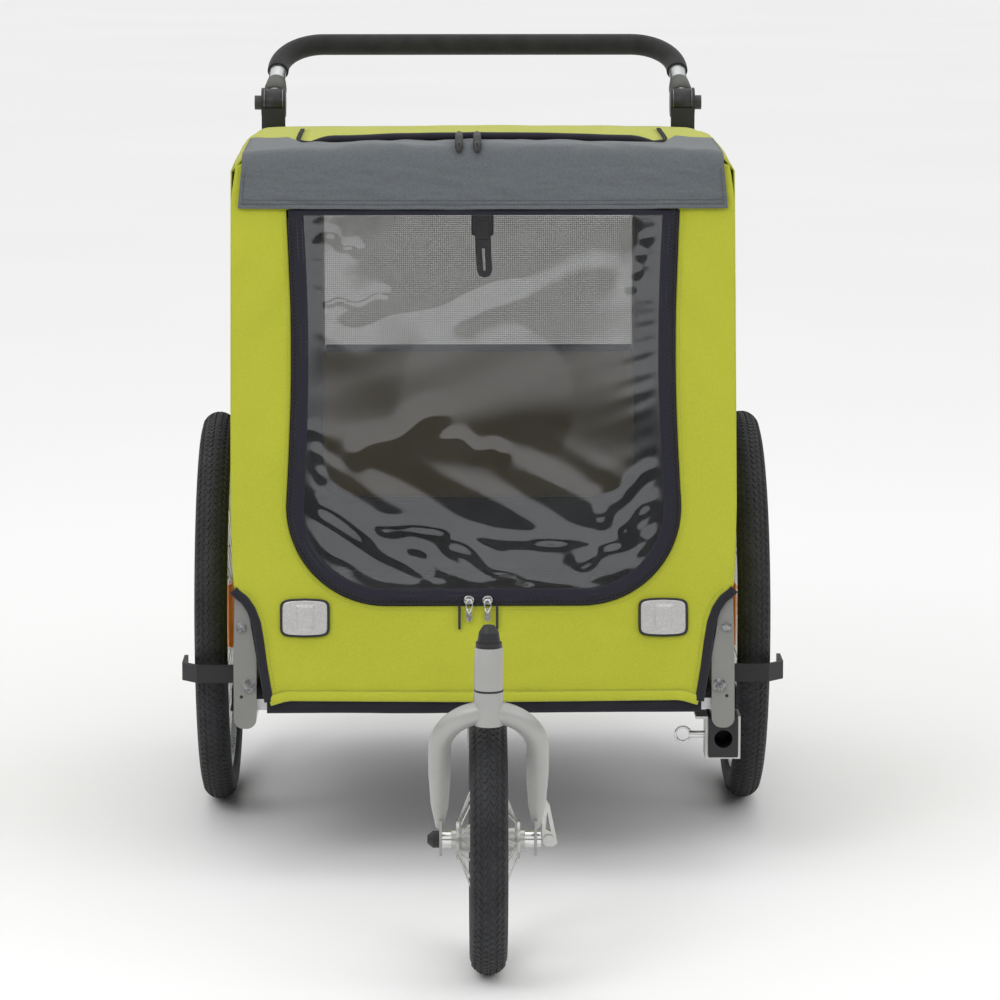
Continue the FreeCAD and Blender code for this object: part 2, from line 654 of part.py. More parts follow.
roof_line = [("-60.3", "roof_front_z"), ("37", "roof_crown_z"), ("237", "roof_crown_z"),
             ("cabin_rear_y", "roof_rear_z")]
roof_under = [(y, f"{z} - cloth") for y, z in reversed(roof_line)]
roof_body = plate("roof_body", "YZ_Plane", roof_line + roof_under, "2 * cabin_half_width", both=True)
hatch_gap = box("hatch_gap", ("-226", "-2", "800"), ("226", "331", "900"))
keep("roof_panel", cut("roof_cut", roof_body, hatch_gap))
hatch_line = [("-1", "roof_front_z + 3.67"), ("37", "roof_crown_z"), ("237", "roof_crown_z"),
              ("330", "roof_crown_z - 5.34")]
hatch_under = [(y, f"{z} - cloth") for y, z in reversed(hatch_line)]
hatch_bead = rod("hatch_bead", ("-225", "328", "roof_crown_z - 6.6"), "x", "1.5", "450")
keep("roof_hatch", joined("roof_hatch_all", plate("hatch_body", "YZ_Plane", hatch_line + hatch_under,
                                                 "450", both=True), hatch_bead))

hem_y = number("front_foot_y") + number("hem_height") * math.sin(math.radians(number("front_lean")))
hem_z = number("front_foot_z") + number("hem_height") * math.cos(math.radians(number("front_lean")))
flap_face = [
    (hem_y - 0.7, hem_z), (-65.2, 860), (-62.4, 866.2), (-57, 867.6), (-4, 870.6),
    (-4, 872.6), (-58, 869.8), (-64.6, 867.6), (-67.4, 860), (hem_y - 2.8, hem_z - 0.4),
]
keep("front_flap", plate("front_flap_body", "YZ_Plane", [(str(y), str(z)) for y, z in flap_face],
                         "2 * flap_half_width", both=True))

side_line = [
    ("-185", "front_foot_z + 18"), ("-163.2", "330"), ("-172.2", "334"),
    ("-59.5", "roof_front_z - cloth - seam_gap"),
    ("37", "roof_crown_z - cloth - seam_gap"), ("237", "roof_crown_z - cloth - seam_gap"),
    ("cabin_rear_y - cloth - seam_gap", "roof_rear_z - cloth - seam_gap"),
    ("cabin_rear_y - cloth - seam_gap", "front_foot_z + 18"),
    ("rear_axle_y + 24", "front_foot_z + 18"), ("rear_axle_y + 24", "rear_radius + 24"),
    ("rear_axle_y - 24", "rear_radius + 24"), ("rear_axle_y - 24", "front_foot_z + 18"),
]
side_opening = [("-62", "500"), ("540", "500"), ("540", "780"), ("-8", "780")]
side = plate("side_panel_body", "YZ_Plane", side_line, "cloth", holes=[side_opening],
             rounds=[("45", side_opening)])
side_left = keep("side_panel_left", side, ("cabin_half_width - cloth", "0", "0"))
doc.recompute()
keep("side_panel_right", mirrored("side_panel_mirror", side_left))
mesh_edge = [("-76", "488"), ("552", "488"), ("552", "792"), ("-16", "792")]
mesh = plate("side_mesh_body", "YZ_Plane", mesh_edge, "1", rounds=[("50", mesh_edge)])
mesh_left = keep("side_mesh_left", mesh, ("cabin_half_width - cloth - 1", "0", "0"))
doc.recompute()
keep("side_mesh_right", mirrored("side_mesh_mirror", mesh_left))

rear_opening = [("-245", "326"), ("245", "326"), ("245", "801"), ("-245", "801")]
rear_edge = [
    ("-cabin_half_width", "front_foot_z + 18"), ("cabin_half_width", "front_foot_z + 18"),
    ("cabin_half_width", "roof_rear_z - cloth - seam_gap"),
    ("-cabin_half_width", "roof_rear_z - cloth - seam_gap"),
]
keep("rear_panel", plate("rear_panel_body", "XZ_Plane", rear_edge, "cloth", holes=[rear_opening],
                         rounds=[("91", rear_opening[:2])]), ("0", "cabin_rear_y", "0"))
door_edge = [("-244", "327"), ("244", "327"), ("244", "800"), ("-244", "800")]
rear_door = plate("rear_door_body", "XZ_Plane", door_edge, "cloth", rounds=[("90", door_edge[:2])])
rear_bead = rod("rear_bead", ("-244", "-1.5", "798"), "x", "2", "488")
keep("rear_door", joined("rear_door_all", rear_door, rear_bead), ("0", "cabin_rear_y", "0"))

# Hand strap with its buckle, hung from the roof bar.
strap = box("strap_web", ("-10.5", "-9.2", "780"), ("10.5", "-6.8", "839.4"))
buckle = softened("strap_buckle", box("buckle_box", ("-13", "-13", "752"), ("13", "-3", "784")), "3")
tongue_line = [("-8.5", "702"), ("8.5", "702"), ("8.5", "756"), ("-8.5", "756")]
tongue_slot = [("-2.5", "709"), ("2.5", "709"), ("2.5", "738"), ("-2.5", "738")]
tongue = plate("strap_tongue", "XZ_Plane", tongue_line, "4", holes=[tongue_slot], both=True,
               rounds=[("5", tongue_line[:2])])
place(tongue, ("0", "-8", "0"))
strap_loop = cut("strap_loop", rod("strap_outer", ("-10.5", "-8", "848"), "x", "10.6", "21"),
                 rod("strap_inner", ("-11.5", "-8", "848"), "x", "8.35", "23"))
keep("hand_strap", joined("hand_strap_all", strap, buckle, tongue, strap_loop))

reflectors = []
for tag, x in (("a", "214"), ("b", "-214")):
    corners = [(f"{x} - 27", "83"), (f"{x} + 27", "83"), (f"{x} + 27", "125"), (f"{x} - 27", "125")]
    reflectors.append(plate("reflector_" + tag, "XZ_Plane", corners, "7", rounds=[("6", corners)]))
keep("front_reflectors", joined("front_reflectors_all", *reflectors), FRONT_FOOT, LEAN)

# Zip pulls: the door pair hang at the middle of the lower zip, the hatch pair lie on the flap.
pulls = []
for tag, x in (("a", "-8"), ("b", "8")):
    corners = [(f"{x} - 3.5", "window_bottom - 20"), (f"{x} + 3.5", "window_bottom - 20"),
               (f"{x} + 3.5", "window_bottom + 6.8"), (f"{x} - 3.5", "window_bottom + 6.8")]
    tab = plate("door_pull_" + tag, "XZ_Plane", corners, "1.6", rounds=[("2", corners)])
    pulls.append(place(tab, ("0", "-0.9", "0")))
    pulls.append(rod("door_pull_pin_" + tag, (f"{x} - 3.5", "-2.4", "window_bottom + 6"), "x", "1.5", "7"))
keep("front_zip_pulls", joined("front_zip_pulls_all", *pulls), FRONT_FOOT, LEAN)

hatch_pulls = []
for tag, x in (("a", "-9"), ("b", "9")):
    corners = [(f"{x} - 3.5", "-28"), (f"{x} + 3.5", "-28"), (f"{x} + 3.5", "0"), (f"{x} - 3.5", "0")]
    hatch_pulls.append(plate("hatch_pull_" + tag, "XY_Plane", corners, "1.6",
                             rounds=[("2", corners[:2])]))
    hatch_pulls.append(rod("hatch_pull_pin_" + tag, (f"{x} - 3.5", "0", "0.8"), "x", "0.8", "7"))
keep("hatch_zip_pulls", joined("hatch_zip_pulls_all", *hatch_pulls),
     ("0", "-8", "roof_crown_z + 0.9"), FreeCAD.Rotation(FORWARD, 3))

# ---- push bar ----

for tag, sign in (("left", 1), ("right", -1)):
    hub_x = f"{sign} * knuckle_x"
    at_hub = ("knuckle_y", "knuckle_z")
    drum = rod(f"drum_{tag}", (f"{hub_x} - 16.5", *at_hub), "x", "20", "33")
    slot = rod(f"drum_slot_{tag}", (f"{hub_x} - 13", *at_hub), "x", "21", "26")
    button_room = rod(f"drum_room_{tag}", (f"{hub_x} + {12 if sign > 0 else -18}", *at_hub),
                      "x", "9.75", "6")
    foot = box(f"knuckle_foot_{tag}", (f"{hub_x} - 16", "cabin_rear_y + 0.1", "822"),
               (f"{hub_x} + 16", "cabin_rear_y + 12", "knuckle_z - 6"))
    keep(f"handle_knuckle_{tag}", cut(f"knuckle_cut_{tag}", joined(f"knuckle_all_{tag}", drum, foot),
                                      slot, button_room))
    button_x = f"{hub_x} + {14.9 if sign > 0 else -25.9}"
    keep(f"handle_button_{tag}", rod(f"button_{tag}", (button_x, *at_hub), "x", "9.7", "11"))

SLOPE = FreeCAD.Rotation(FORWARD, -(90 - number("bar_slope")))
KNUCKLES = ("0", "knuckle_y", "knuckle_z")
hubs = []
for tag, sign in (("a", 1), ("b", -1)):
    hubs.append(rod("bar_hub_" + tag, (f"{sign} * knuckle_x - 12.6", "0", "0"), "x", "18.5", "25.2"))
bar_line = [("-knuckle_x", "0"), ("-knuckle_x + 7", "bar_reach"),
            ("knuckle_x - 7", "bar_reach"), ("knuckle_x", "0")]
bar = bent_tube("bar_tube", "XZ_Plane", bar_line, "bar_bend", "bar_radius", "1.8")
keep("push_bar", joined("push_bar_all", bar, *hubs), KNUCKLES, SLOPE)
grip_line = [("-knuckle_x + 3.7", "bar_reach - 64"), bar_line[1], bar_line[2],
             ("knuckle_x - 3.7", "bar_reach - 64")]
grip = bent_tube("grip_sleeve", "XZ_Plane", grip_line, "bar_bend", "grip_radius",
                 "(grip_radius - bar_radius)")
keep("push_bar_grip", grip, KNUCKLES, SLOPE)

doc.recompute()
faulty = [item.Name for item in doc.Objects if {"Invalid", "Error"} & set(item.State)]
if faulty:
    raise RuntimeError(f"not computed: {faulty}")
os.makedirs("parts", exist_ok=True)
for name, item in nodes:
    if item.Shape.isNull() or not item.Shape.isValid():
        raise RuntimeError(f"{name} has no valid shape")
for name, item in nodes:
    item.Shape.exportStep(f"parts/{name}.step")
print(len(nodes), "sub-parts written")
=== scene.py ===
import math

import bmesh
import bpy
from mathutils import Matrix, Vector, noise


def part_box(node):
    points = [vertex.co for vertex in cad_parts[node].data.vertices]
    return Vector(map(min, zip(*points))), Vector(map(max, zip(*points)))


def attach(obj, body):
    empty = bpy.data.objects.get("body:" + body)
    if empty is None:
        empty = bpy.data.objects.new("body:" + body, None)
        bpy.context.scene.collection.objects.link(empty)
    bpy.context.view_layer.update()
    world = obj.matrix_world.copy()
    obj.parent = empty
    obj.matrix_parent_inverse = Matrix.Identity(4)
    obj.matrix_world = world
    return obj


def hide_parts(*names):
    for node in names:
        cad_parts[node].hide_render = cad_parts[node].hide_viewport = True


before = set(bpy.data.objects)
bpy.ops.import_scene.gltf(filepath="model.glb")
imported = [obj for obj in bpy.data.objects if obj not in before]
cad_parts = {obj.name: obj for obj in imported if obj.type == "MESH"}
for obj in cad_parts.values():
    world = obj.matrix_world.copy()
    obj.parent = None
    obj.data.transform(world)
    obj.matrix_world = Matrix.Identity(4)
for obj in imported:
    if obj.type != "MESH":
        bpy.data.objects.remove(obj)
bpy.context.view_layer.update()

# ------------------------------------------------------------------ places
LEAN = math.radians(12.05)  # how far the front face leans back
FOOT = Vector((0, -0.203, 0.210))  # middle of its lower edge
HALF = 0.303  # half the width of the cabin
ROOF_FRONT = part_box("roof_panel")[0].y
REAR_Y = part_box("rear_panel")[1].y
SLANT = 0.667  # length of the front face up its slope


def front(u, v, w=0.0):
    """Front face: u across, v up the slope, w outwards."""
    return Vector((u, FOOT.y + v * math.sin(LEAN) - w * math.cos(LEAN),
                   FOOT.z + v * math.cos(LEAN) + w * math.sin(LEAN)))


FRONT_OUT = Vector((0, -math.cos(LEAN), math.sin(LEAN)))
UP = Vector((0, 0, 1))
CLOTH = 0.0014  # thickness of the cabin cloth


def ripple(p, scale, seed=0.0):
    return noise.noise(Vector(p) * scale + Vector((seed, seed * 1.7, -seed)))


# ------------------------------------------------------------------ materials
class Nodes:
    """A short way to wire a material."""

    def __init__(self, name):
        self.mat = bpy.data.materials.new(name)
        self.mat.use_nodes = True
        self.tree = self.mat.node_tree
        self.tree.nodes.clear()
        self.out = self.add("ShaderNodeOutputMaterial")
        self.skin = self.add("ShaderNodeBsdfPrincipled")
        self.link(self.skin, 0, self.out, 0)
        self.where = self.add("ShaderNodeTexCoord")

    def add(self, kind, **settings):
        node = self.tree.nodes.new(kind)
        for key, value in settings.items():
            if key.startswith("_"):
                setattr(node, key[1:], value)
            else:
                node.inputs[key.replace("_", " ")].default_value = value
        return node

    def link(self, a, out, b, into):
        self.tree.links.new(a.outputs[out], b.inputs[into])

    def scaled(self, x, y, z):
        node = self.add("ShaderNodeMapping")
        node.inputs["Scale"].default_value = (x, y, z)
        self.link(self.where, "Object", node, 0)
        return node

    def noise(self, scale, detail=3.0, rough=0.55, source=None):
        node = self.add("ShaderNodeTexNoise", Scale=scale, Detail=detail, Roughness=rough)
        if source is None:
            self.link(self.where, "Object", node, "Vector")
        else:
            self.link(source, 0, node, "Vector")
        return node

    def wave(self, scale, axis, distort=0.0):
        node = self.add("ShaderNodeTexWave", _bands_direction=axis, Scale=scale, Distortion=distort)
        self.link(self.where, "Object", node, "Vector")
        return node

    def cells(self, scale):
        node = self.add("ShaderNodeTexVoronoi", Scale=scale)
        self.link(self.where, "Object", node, "Vector")
        return node

    def math(self, kind, a, b):
        node = self.add("ShaderNodeMath", _operation=kind)
        for slot, value in ((0, a), (1, b)):
            if isinstance(value, (int, float)):
                node.inputs[slot].default_value = value
            else:
                self.link(value[0], value[1], node, slot)
        return node

    def ramp(self, source, stops, out="Fac"):
        node = self.add("ShaderNodeValToRGB")
        ramp = node.color_ramp
        while len(ramp.elements) < len(stops):
            ramp.elements.new(0.5)
        for element, (at, colour) in zip(ramp.elements, stops):
            element.position = at
            element.color = (*colour, 1) if len(colour) == 3 else colour
        self.link(source, out, node, 0)
        return node

    def tint(self, source, stops, out="Fac"):
        self.link(self.ramp(source, stops, out), 0, self.skin, "Base Color")

    def gloss(self, source, stops):
        self.link(self.ramp(source, stops), 0, self.skin, "Roughness")

    def bump(self, source, strength, distance, under=None):
        node = self.add("ShaderNodeBump", Strength=strength, Distance=distance)
        self.link(source, 0, node, "Height")
        if under is not None:
            self.link(under, 0, node, "Normal")
        self.link(node, 0, self.skin, "Normal")
        return node

    def set(self, **values):
        for key, value in values.items():
            self.skin.inputs[key.replace("_", " ")].default_value = value


def shade(colour, factor):
    return tuple(c * factor for c in colour)


def cloth(name, colour, weave=900, melange=0.12, rough=0.85, sheen=0.25, wear_and_shade=0.1):
    """Plain-woven cloth: crossing threads, uneven dye and a soft sheen; its broad patches stand for wear,
    and in LIME_SHADE for painted shade.
    """
    n = Nodes(name)
    warp, weft, third = (n.wave(weave, axis, 1.5) for axis in "XZY")
    threads = n.math("ADD", (warp, 1), (weft, 1))
    threads = n.math("ADD", (threads, 0), (third, 1))
    broad = n.noise(7, 4, 0.6)
    fine = n.noise(420, 3, 0.7)
    mixed = n.math("MULTIPLY_ADD", (fine, 0), melange * 2.2)
    mixed.inputs[2].default_value = 0.5 - melange * 1.1
    # Broad patches: wear, and painted shade in LIME_SHADE.
    uneven = n.math("MULTIPLY_ADD", (broad, 0), wear_and_shade * 1.6)
    n.link(mixed, 0, uneven, 2)
    both = n.math("MULTIPLY_ADD", (threads, 0), 0.05)
    n.link(uneven, 0, both, 2)
    n.tint(both, [(0.30, shade(colour, 0.62)), (0.62, colour), (0.92, shade(colour, 1.22))], 0)
    under = n.bump(fine, 0.12, 0.0004)
    n.bump(threads, 0.35, 0.0003, under=under)
    n.set(Roughness=rough, Sheen_Weight=sheen, Sheen_Roughness=0.5, Specular_IOR_Level=0.25)
    return n.mat


def plastic(name, colour, rough=0.45):
    n = Nodes(name)
    fine = n.noise(900, 2, 0.6)
    broad = n.noise(14, 3, 0.6)
    n.tint(broad, [(0.3, shade(colour, 0.8)), (0.7, shade(colour, 1.25))])
    n.gloss(broad, [(0.25, (rough - 0.07,) * 3), (0.75, (rough + 0.1,) * 3)])
    n.bump(fine, 0.25, 0.0002)
    return n.mat


def metal(name, colour, rough=0.3, metallic=1.0, brush=None, flake=0.0, coat=0.0):
    n = Nodes(name)
    broad = n.noise(9, 4, 0.6)
    n.tint(broad, [(0.3, shade(colour, 0.88)), (0.7, shade(colour, 1.06))])
    if brush:
        grain = n.noise(60, 3, 0.7, n.scaled(*brush))
    else:
        grain = n.noise(900 if flake else 160, 2, 0.6)
    n.gloss(grain, [(0.3, (rough - 0.06,) * 3), (0.7, (rough + 0.12,) * 3)])
    n.bump(grain, 0.08 + flake, 0.0002)
    n.set(Metallic=metallic, Coat_Weight=coat, Coat_Roughness=0.25)
    return n.mat


def tyre_rubber(name):
    n = Nodes(name)
    dust = n.noise(30, 5, 0.65)
    n.tint(dust, [(0.3, (0.011, 0.011, 0.013)), (0.75, (0.030, 0.031, 0.034))])
    n.bump(n.noise(700, 2, 0.6), 0.2, 0.0003)
    n.set(Roughness=0.62, Specular_IOR_Level=0.4)
    return n.mat


def foam(name):
    n = Nodes(name)
    cells = n.cells(900.0)
    n.tint(n.noise(40, 3), [(0.3, (0.009, 0.0095, 0.010)), (0.7, (0.020, 0.021, 0.022))])
    n.bump(cells, 0.5, 0.0004)
    n.set(Roughness=0.85, Sheen_Weight=0.15)
    return n.mat


def film(name):
    """Clear soft PVC with a faint haze and cast ripples."""
    n = Nodes(name)
    haze = n.noise(11, 4, 0.55)
    clear = n.ramp(haze, [(0.35, (0.012,) * 3), (0.75, (0.028,) * 3)])
    n.link(clear, 0, n.skin, "Alpha")
    n.set(Base_Color=(0.75, 0.77, 0.78, 1), Roughness=0.06, Specular_IOR_Level=0.6, IOR=1.5)
    glossy = n.add("ShaderNodeBsdfGlossy", Roughness=0.05)
    glossy.inputs["Color"].default_value = (0.9, 0.92, 0.95, 1)
    edge = n.add("ShaderNodeFresnel", IOR=1.62)
    blend = n.add("ShaderNodeMixShader")
    n.link(edge, 0, blend, 0)
    n.link(n.skin, 0, blend, 1)
    n.link(glossy, 0, blend, 2)
    n.link(blend, 0, n.out, 0)
    n.mat.surface_render_method = "BLENDED"
    return n.mat


def netting(name, colour, fill):
    """Knitted mesh: see-through between its threads."""
    n = Nodes(name)
    a, b, c = (n.wave(118, axis) for axis in "YZX")
    top = n.math("MAXIMUM", (a, 1), (b, 1))
    top = n.math("MAXIMUM", (top, 0), (c, 1))
    holes = n.ramp(top, [(0.55, (fill - 0.25,) * 3), (0.9, (fill + 0.1,) * 3)], 0)
    n.link(holes, 0, n.skin, "Alpha")
    n.tint(n.noise(60, 4), [(0.3, shade(colour, 0.85)), (0.7, shade(colour, 1.1))])
    n.bump(top, 0.5, 0.0003)
    n.set(Roughness=0.8, Sheen_Weight=0.2)
    return n.mat


def lens(name, colour):
    """Prismatic reflector plastic."""
    n = Nodes(name)
    cells = n.cells(520.0)
    n.tint(cells, [(0.0, shade(colour, 1.12)), (0.6, shade(colour, 0.86))], "Distance")
    n.bump(cells, 0.35, 0.0005)
    n.set(Roughness=0.22, Metallic=0.2, Coat_Weight=0.6, Coat_Roughness=0.08)
    return n.mat


LIME = cloth("lime_polyester", (0.475, 0.500, 0.036), melange=0.16)
# Painted shade: olive-brown stands for the lime cloth as it looks in shadow from inside the cabin; its
# stronger broad patches are painted shade too.
LIME_SHADE = cloth("lime_painted_shade", (0.250, 0.178, 0.052), melange=0.2, wear_and_shade=0.2)
SLATE = cloth("slate_melange", (0.125, 0.138, 0.148), melange=0.42, sheen=0.3)
BLACK = cloth("black_polyester", (0.020, 0.020, 0.026), melange=0.2, sheen=0.12)
NAVY = cloth("zip_tape", (0.020, 0.019, 0.030), weave=1400, melange=0.1, sheen=0.1)
LINING = cloth("black_lining", (0.032, 0.032, 0.036), melange=0.2, sheen=0.1)
THREAD = cloth("thread", (0.33, 0.35, 0.03), weave=2400, rough=0.7)
DARK_THREAD = cloth("dark_thread", (0.055, 0.06, 0.068), weave=2400, rough=0.7)
NET = netting("window_mesh", (0.37, 0.37, 0.31), fill=0.62)
PVC = film("clear_pvc")
ALLOY = metal("anodised_tube", (0.60, 0.61, 0.61), 0.34, brush=(1, 1, 14))
RIM = metal("rim_alloy", (0.62, 0.63, 0.63), 0.26)
PAINT = metal("grey_powder_coat", (0.42, 0.42, 0.405), 0.42, 0.25, flake=0.1, coat=0.25)
BRACKET = metal("bracket_coat", (0.27, 0.27, 0.255), 0.40, 0.35, flake=0.1, coat=0.2)
STEEL = metal("zinc_steel", (0.56, 0.56, 0.54), 0.32)
BRIGHT = metal("bright_steel", (0.75, 0.75, 0.74), 0.16)
PLASTIC = plastic("black_moulding", (0.014, 0.0145, 0.016))
COLLAR = plastic("olive_grey_moulding", (0.085, 0.088, 0.078), 0.5)
SOFT_PLASTIC = plastic("dark_grey_moulding", (0.040, 0.041, 0.040), 0.5)
TYRE = tyre_rubber("tyre_rubber")
FOAM = foam("grip_foam")
CLEAR_LENS = lens("clear_reflector", (0.62, 0.61, 0.60))
AMBER = lens("amber_reflector", (0.75, 0.20, 0.012))


# ------------------------------------------------------------------ mesh helpers
def placed(name, data):
    obj = bpy.data.objects.new(name, data)
    bpy.context.scene.collection.objects.link(obj)
    return obj


def new_object(name, verts, faces, mat, smooth=True):
    mesh = bpy.data.meshes.new(name)
    mesh.from_pydata([tuple(v) for v in verts], [], faces)
    mesh.validate()
    mesh.update()
    mesh.materials.append(mat)
    for face in mesh.polygons:
        face.use_smooth = smooth
    return placed(name, mesh)


def baked(name, bm, mats):
    """A new object from an edited mesh."""
    mesh = bpy.data.meshes.new(name)
    bm.to_mesh(mesh)
    bm.free()
    for mat in mats:
        mesh.materials.append(mat)
    return placed(name, mesh)


def thicken(obj, thickness, offset=-1.0):
    solid = obj.modifiers.new("thickness", "SOLIDIFY")
    solid.thickness = thickness
    solid.offset = offset
    solid.use_even_offset = True
    return obj


def grid(name, fn, nu, nv, mat, closed=False):
    """A sheet from fn(s, t), s and t from 0 to 1. Closed sheets join up along s."""
    count = nu if closed else nu + 1
    verts = [fn(i / nu, j / nv) for j in range(nv + 1) for i in range(count)]
    faces = []
    for j in range(nv):
        for i in range(nu):
            a, b = j * count + i, j * count + (i + 1) % count
            faces.append((a, b, b + count, a + count))
    return new_object(name, verts, faces, mat)


def resample(points, count):
    """Points evenly spaced along a polyline, both ends kept."""
    points = [Vector(p) for p in points]
    runs = [(b - a).length for a, b in zip(points, points[1:])]
    total = sum(runs)
    out, done, k = [], 0.0, 0
    for n in range(count + 1):
        target = total * n / count
        while k < len(runs) - 1 and done + runs[k] < target:
            done += runs[k]
            k += 1
        share = (target - done) / runs[k] if runs[k] else 0
        out.append(points[k].lerp(points[k + 1], min(1, max(0, share))))
    return out


def spread(chains, counts):
    """Chains of 2-D points, each with its own even number of steps."""
    return [resample([(x, y, 0) for x, y in chain], n) for chain, n in zip(chains, counts)]


def ring(chains):
    """Four chains into one closed loop, shared ends dropped."""
    return [p for chain in chains for p in chain[:-1]]


def ring_sheet(name, inner, outer, rows, mat, place):
    """A closed sheet between two matching loops; place(x, y, t) sets each point."""
    def point(s, t):
        k = int(round(s * len(inner))) % len(inner)
        p = inner[k].lerp(outer[k], t)
        return place(p.x, p.y, t)

    return grid(name, point, len(inner), rows, mat, closed=True)


def clamped(value):
    return min(1.0, max(0.0, value))


def calm_edges(t, rise=6, fall=6):
    """Fades an effect out at both edges of a sheet."""
    return min(1, rise * t) * min(1, fall * (1 - t))


def circle(steps):
    return [2 * math.pi * k / steps for k in range(steps)]


def arc(centre, radius, start, end, steps=14):
    """2-D arc points, angles in degrees."""
    return [(centre[0] + radius * math.cos(math.radians(start + (end - start) * k / steps)),
             centre[1] + radius * math.sin(math.radians(start + (end - start) * k / steps)))
            for k in range(steps + 1)]


def mirrored(points):
    return [(-x, y) for x, y in reversed(points)]


def u_chains(half, low, high, r, steps=14, pinch=0.0):
    """A U with round lower corners as four chains; pinch draws its sides in at half height."""
    cx, cy = half - r, low + r
    right = [(half - pinch * math.sin(math.pi * k / 20), high + (cy - high) * k / 20) for k in range(20)]
    right += arc((cx, cy), r, 0, -45, steps)
    foot = arc((cx, cy), r, -45, -90, steps)
    return [[(-half, high), (half, high)], right, foot + mirrored(foot), mirrored(right)]


def tube(name, points, radius, mat, sides=10, flat=1.0, normals=None, closed=False):
    """A round or flattened bar swept along points; flat < 1 thins it along its normal."""
    points = [Vector(p) for p in points]
    count = len(points)
    verts, faces = [], []
    up = Vector((0.13, 0.31, 0.94))
    for k, p in enumerate(points):
        before = points[k - 1] if k or closed else p
        after = points[(k + 1) % count] if k < count - 1 or closed else p
        along = (after - before).normalized()
        normal = Vector(normals[k]) if normals else up
        side = along.cross(normal).normalized()
        normal = side.cross(along).normalized()
        if not normals:
            up = normal
        r = radius[k] if isinstance(radius, (list, tuple)) else radius
        for n in range(sides):
            a = 2 * math.pi * n / sides
            verts.append(p + side * (r * math.cos(a)) + normal * (r * flat * math.sin(a)))
    rings = count if closed else count - 1
    for k in range(rings):
        for n in range(sides):
            a, b = k * sides + n, k * sides + (n + 1) % sides
            c, d = (a + sides) % len(verts), (b + sides) % len(verts)
            faces.append((a, b, d, c))
    if not closed:
        faces.append(tuple(range(sides))[::-1])
        faces.append(tuple(range((count - 1) * sides, count * sides)))
    return new_object(name, verts, faces, mat)


def merged(name, objects):
    """Joins objects into one new piece."""
    bm = bmesh.new()
    mats = list(dict.fromkeys(m for obj in objects for m in obj.data.materials))
    for obj in objects:
        dg = bpy.context.evaluated_depsgraph_get()
        mesh = bpy.data.meshes.new_from_object(obj.evaluated_get(dg)) if obj.modifiers else obj.data
        start = len(bm.faces)
        bm.from_mesh(mesh)
        bm.faces.ensure_lookup_table()
        index = mats.index(obj.data.materials[0])
        for face in bm.faces[start:]:
            face.material_index = index
    for obj in objects:
        bpy.data.objects.remove(obj)
    return baked(name, bm, mats)


def bricks(name, places, size, mat, soften=0.3):
    """Many small rounded bars: each place is (centre, along, normal)."""
    a, b, c = size[0] / 2, size[1] / 2, size[2] / 2
    ia, ib = a * (1 - soften), b * (1 - soften)
    shape = [(-a, -ib, 0), (-a, ib, 0), (-ia, b, 0), (ia, b, 0), (a, ib, 0), (a, -ib, 0),
             (ia, -b, 0), (-ia, -b, 0)]
    top = [(-ia, -ib, c), (-ia, ib, c), (ia, ib, c), (ia, -ib, c)]
    sides = [(0, 1, 9, 8), (1, 2, 9), (2, 3, 10, 9), (3, 4, 10), (4, 5, 11, 10), (5, 6, 11),
             (6, 7, 8, 11), (7, 0, 8), (8, 9, 10, 11), (7, 6, 5, 4, 3, 2, 1, 0)]
    verts, faces = [], []
    for centre, along, normal in places:
        along = Vector(along).normalized()
        side = Vector(normal).cross(along).normalized()
        normal = along.cross(side).normalized()
        base = len(verts)
        for x, y, z in shape + top:
            verts.append(Vector(centre) + along * x + side * y + normal * z)
        faces += [tuple(base + k for k in f) for f in sides]
    return new_object(name, verts, faces, mat, smooth=False)


def flat_path(line, way):
    """A path whose normals all point one way."""
    return line, [way] * len(line)


def along_path(points, normals, pitch):
    """Evenly spaced (point, direction, normal) along a path."""
    points = [Vector(p) for p in points]
    total = sum((b - a).length for a, b in zip(points, points[1:]))
    count = max(2, int(total / pitch))
    line = resample(points, count)
    facing = resample(normals, count)
    out = []
    for k in range(count):
        ahead = (line[k + 1] - line[k]).normalized()
        out.append((line[k].lerp(line[k + 1], 0.5), ahead, facing[k].normalized()))
    return out


def stitch_line(name, paths, mat, body="frame"):
    """Lock-stitch rows; each path is (points, normals)."""
    pitch, lift = 0.0042, 0.0002
    places = []
    for points, normals in paths:
        for centre, ahead, normal in along_path(points, normals, pitch):
            places.append((centre + normal * lift, ahead, normal))
    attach(bricks(name, places, (pitch * 0.72, 0.0007, 0.0006), mat, 0.4), body)


def zip_teeth(name, path, body, lift=0.0008):
    """Teeth across a path of (points, normals), each a little to one side or the other."""
    places = []
    for k, (centre, ahead, normal) in enumerate(along_path(*path, 0.0026)):
        side = normal.cross(ahead)
        places.append((centre + side * (0.0007 if k % 2 else -0.0007) + normal * lift, side, normal))
    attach(bricks(name, places, (0.0042, 0.0015, 0.0016), PLASTIC), body)


def fit(obj, body, node=None):
    """Ties a piece to its body and hides the CAD node it stands for."""
    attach(obj, body)
    if node:
        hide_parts(node)


def paint(node, mat, bevel=0.0):
    """Gives a carried-over CAD node its material and softened edges."""
    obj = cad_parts[node]
    obj.data.materials.clear()
    obj.data.materials.append(mat)
    if bevel:
        edge = obj.modifiers.new("edges", "BEVEL")
        edge.width = bevel
        edge.segments = 2
        edge.limit_method = "ANGLE"
        edge.angle_limit = math.radians(35)
        edge.harden_normals = True


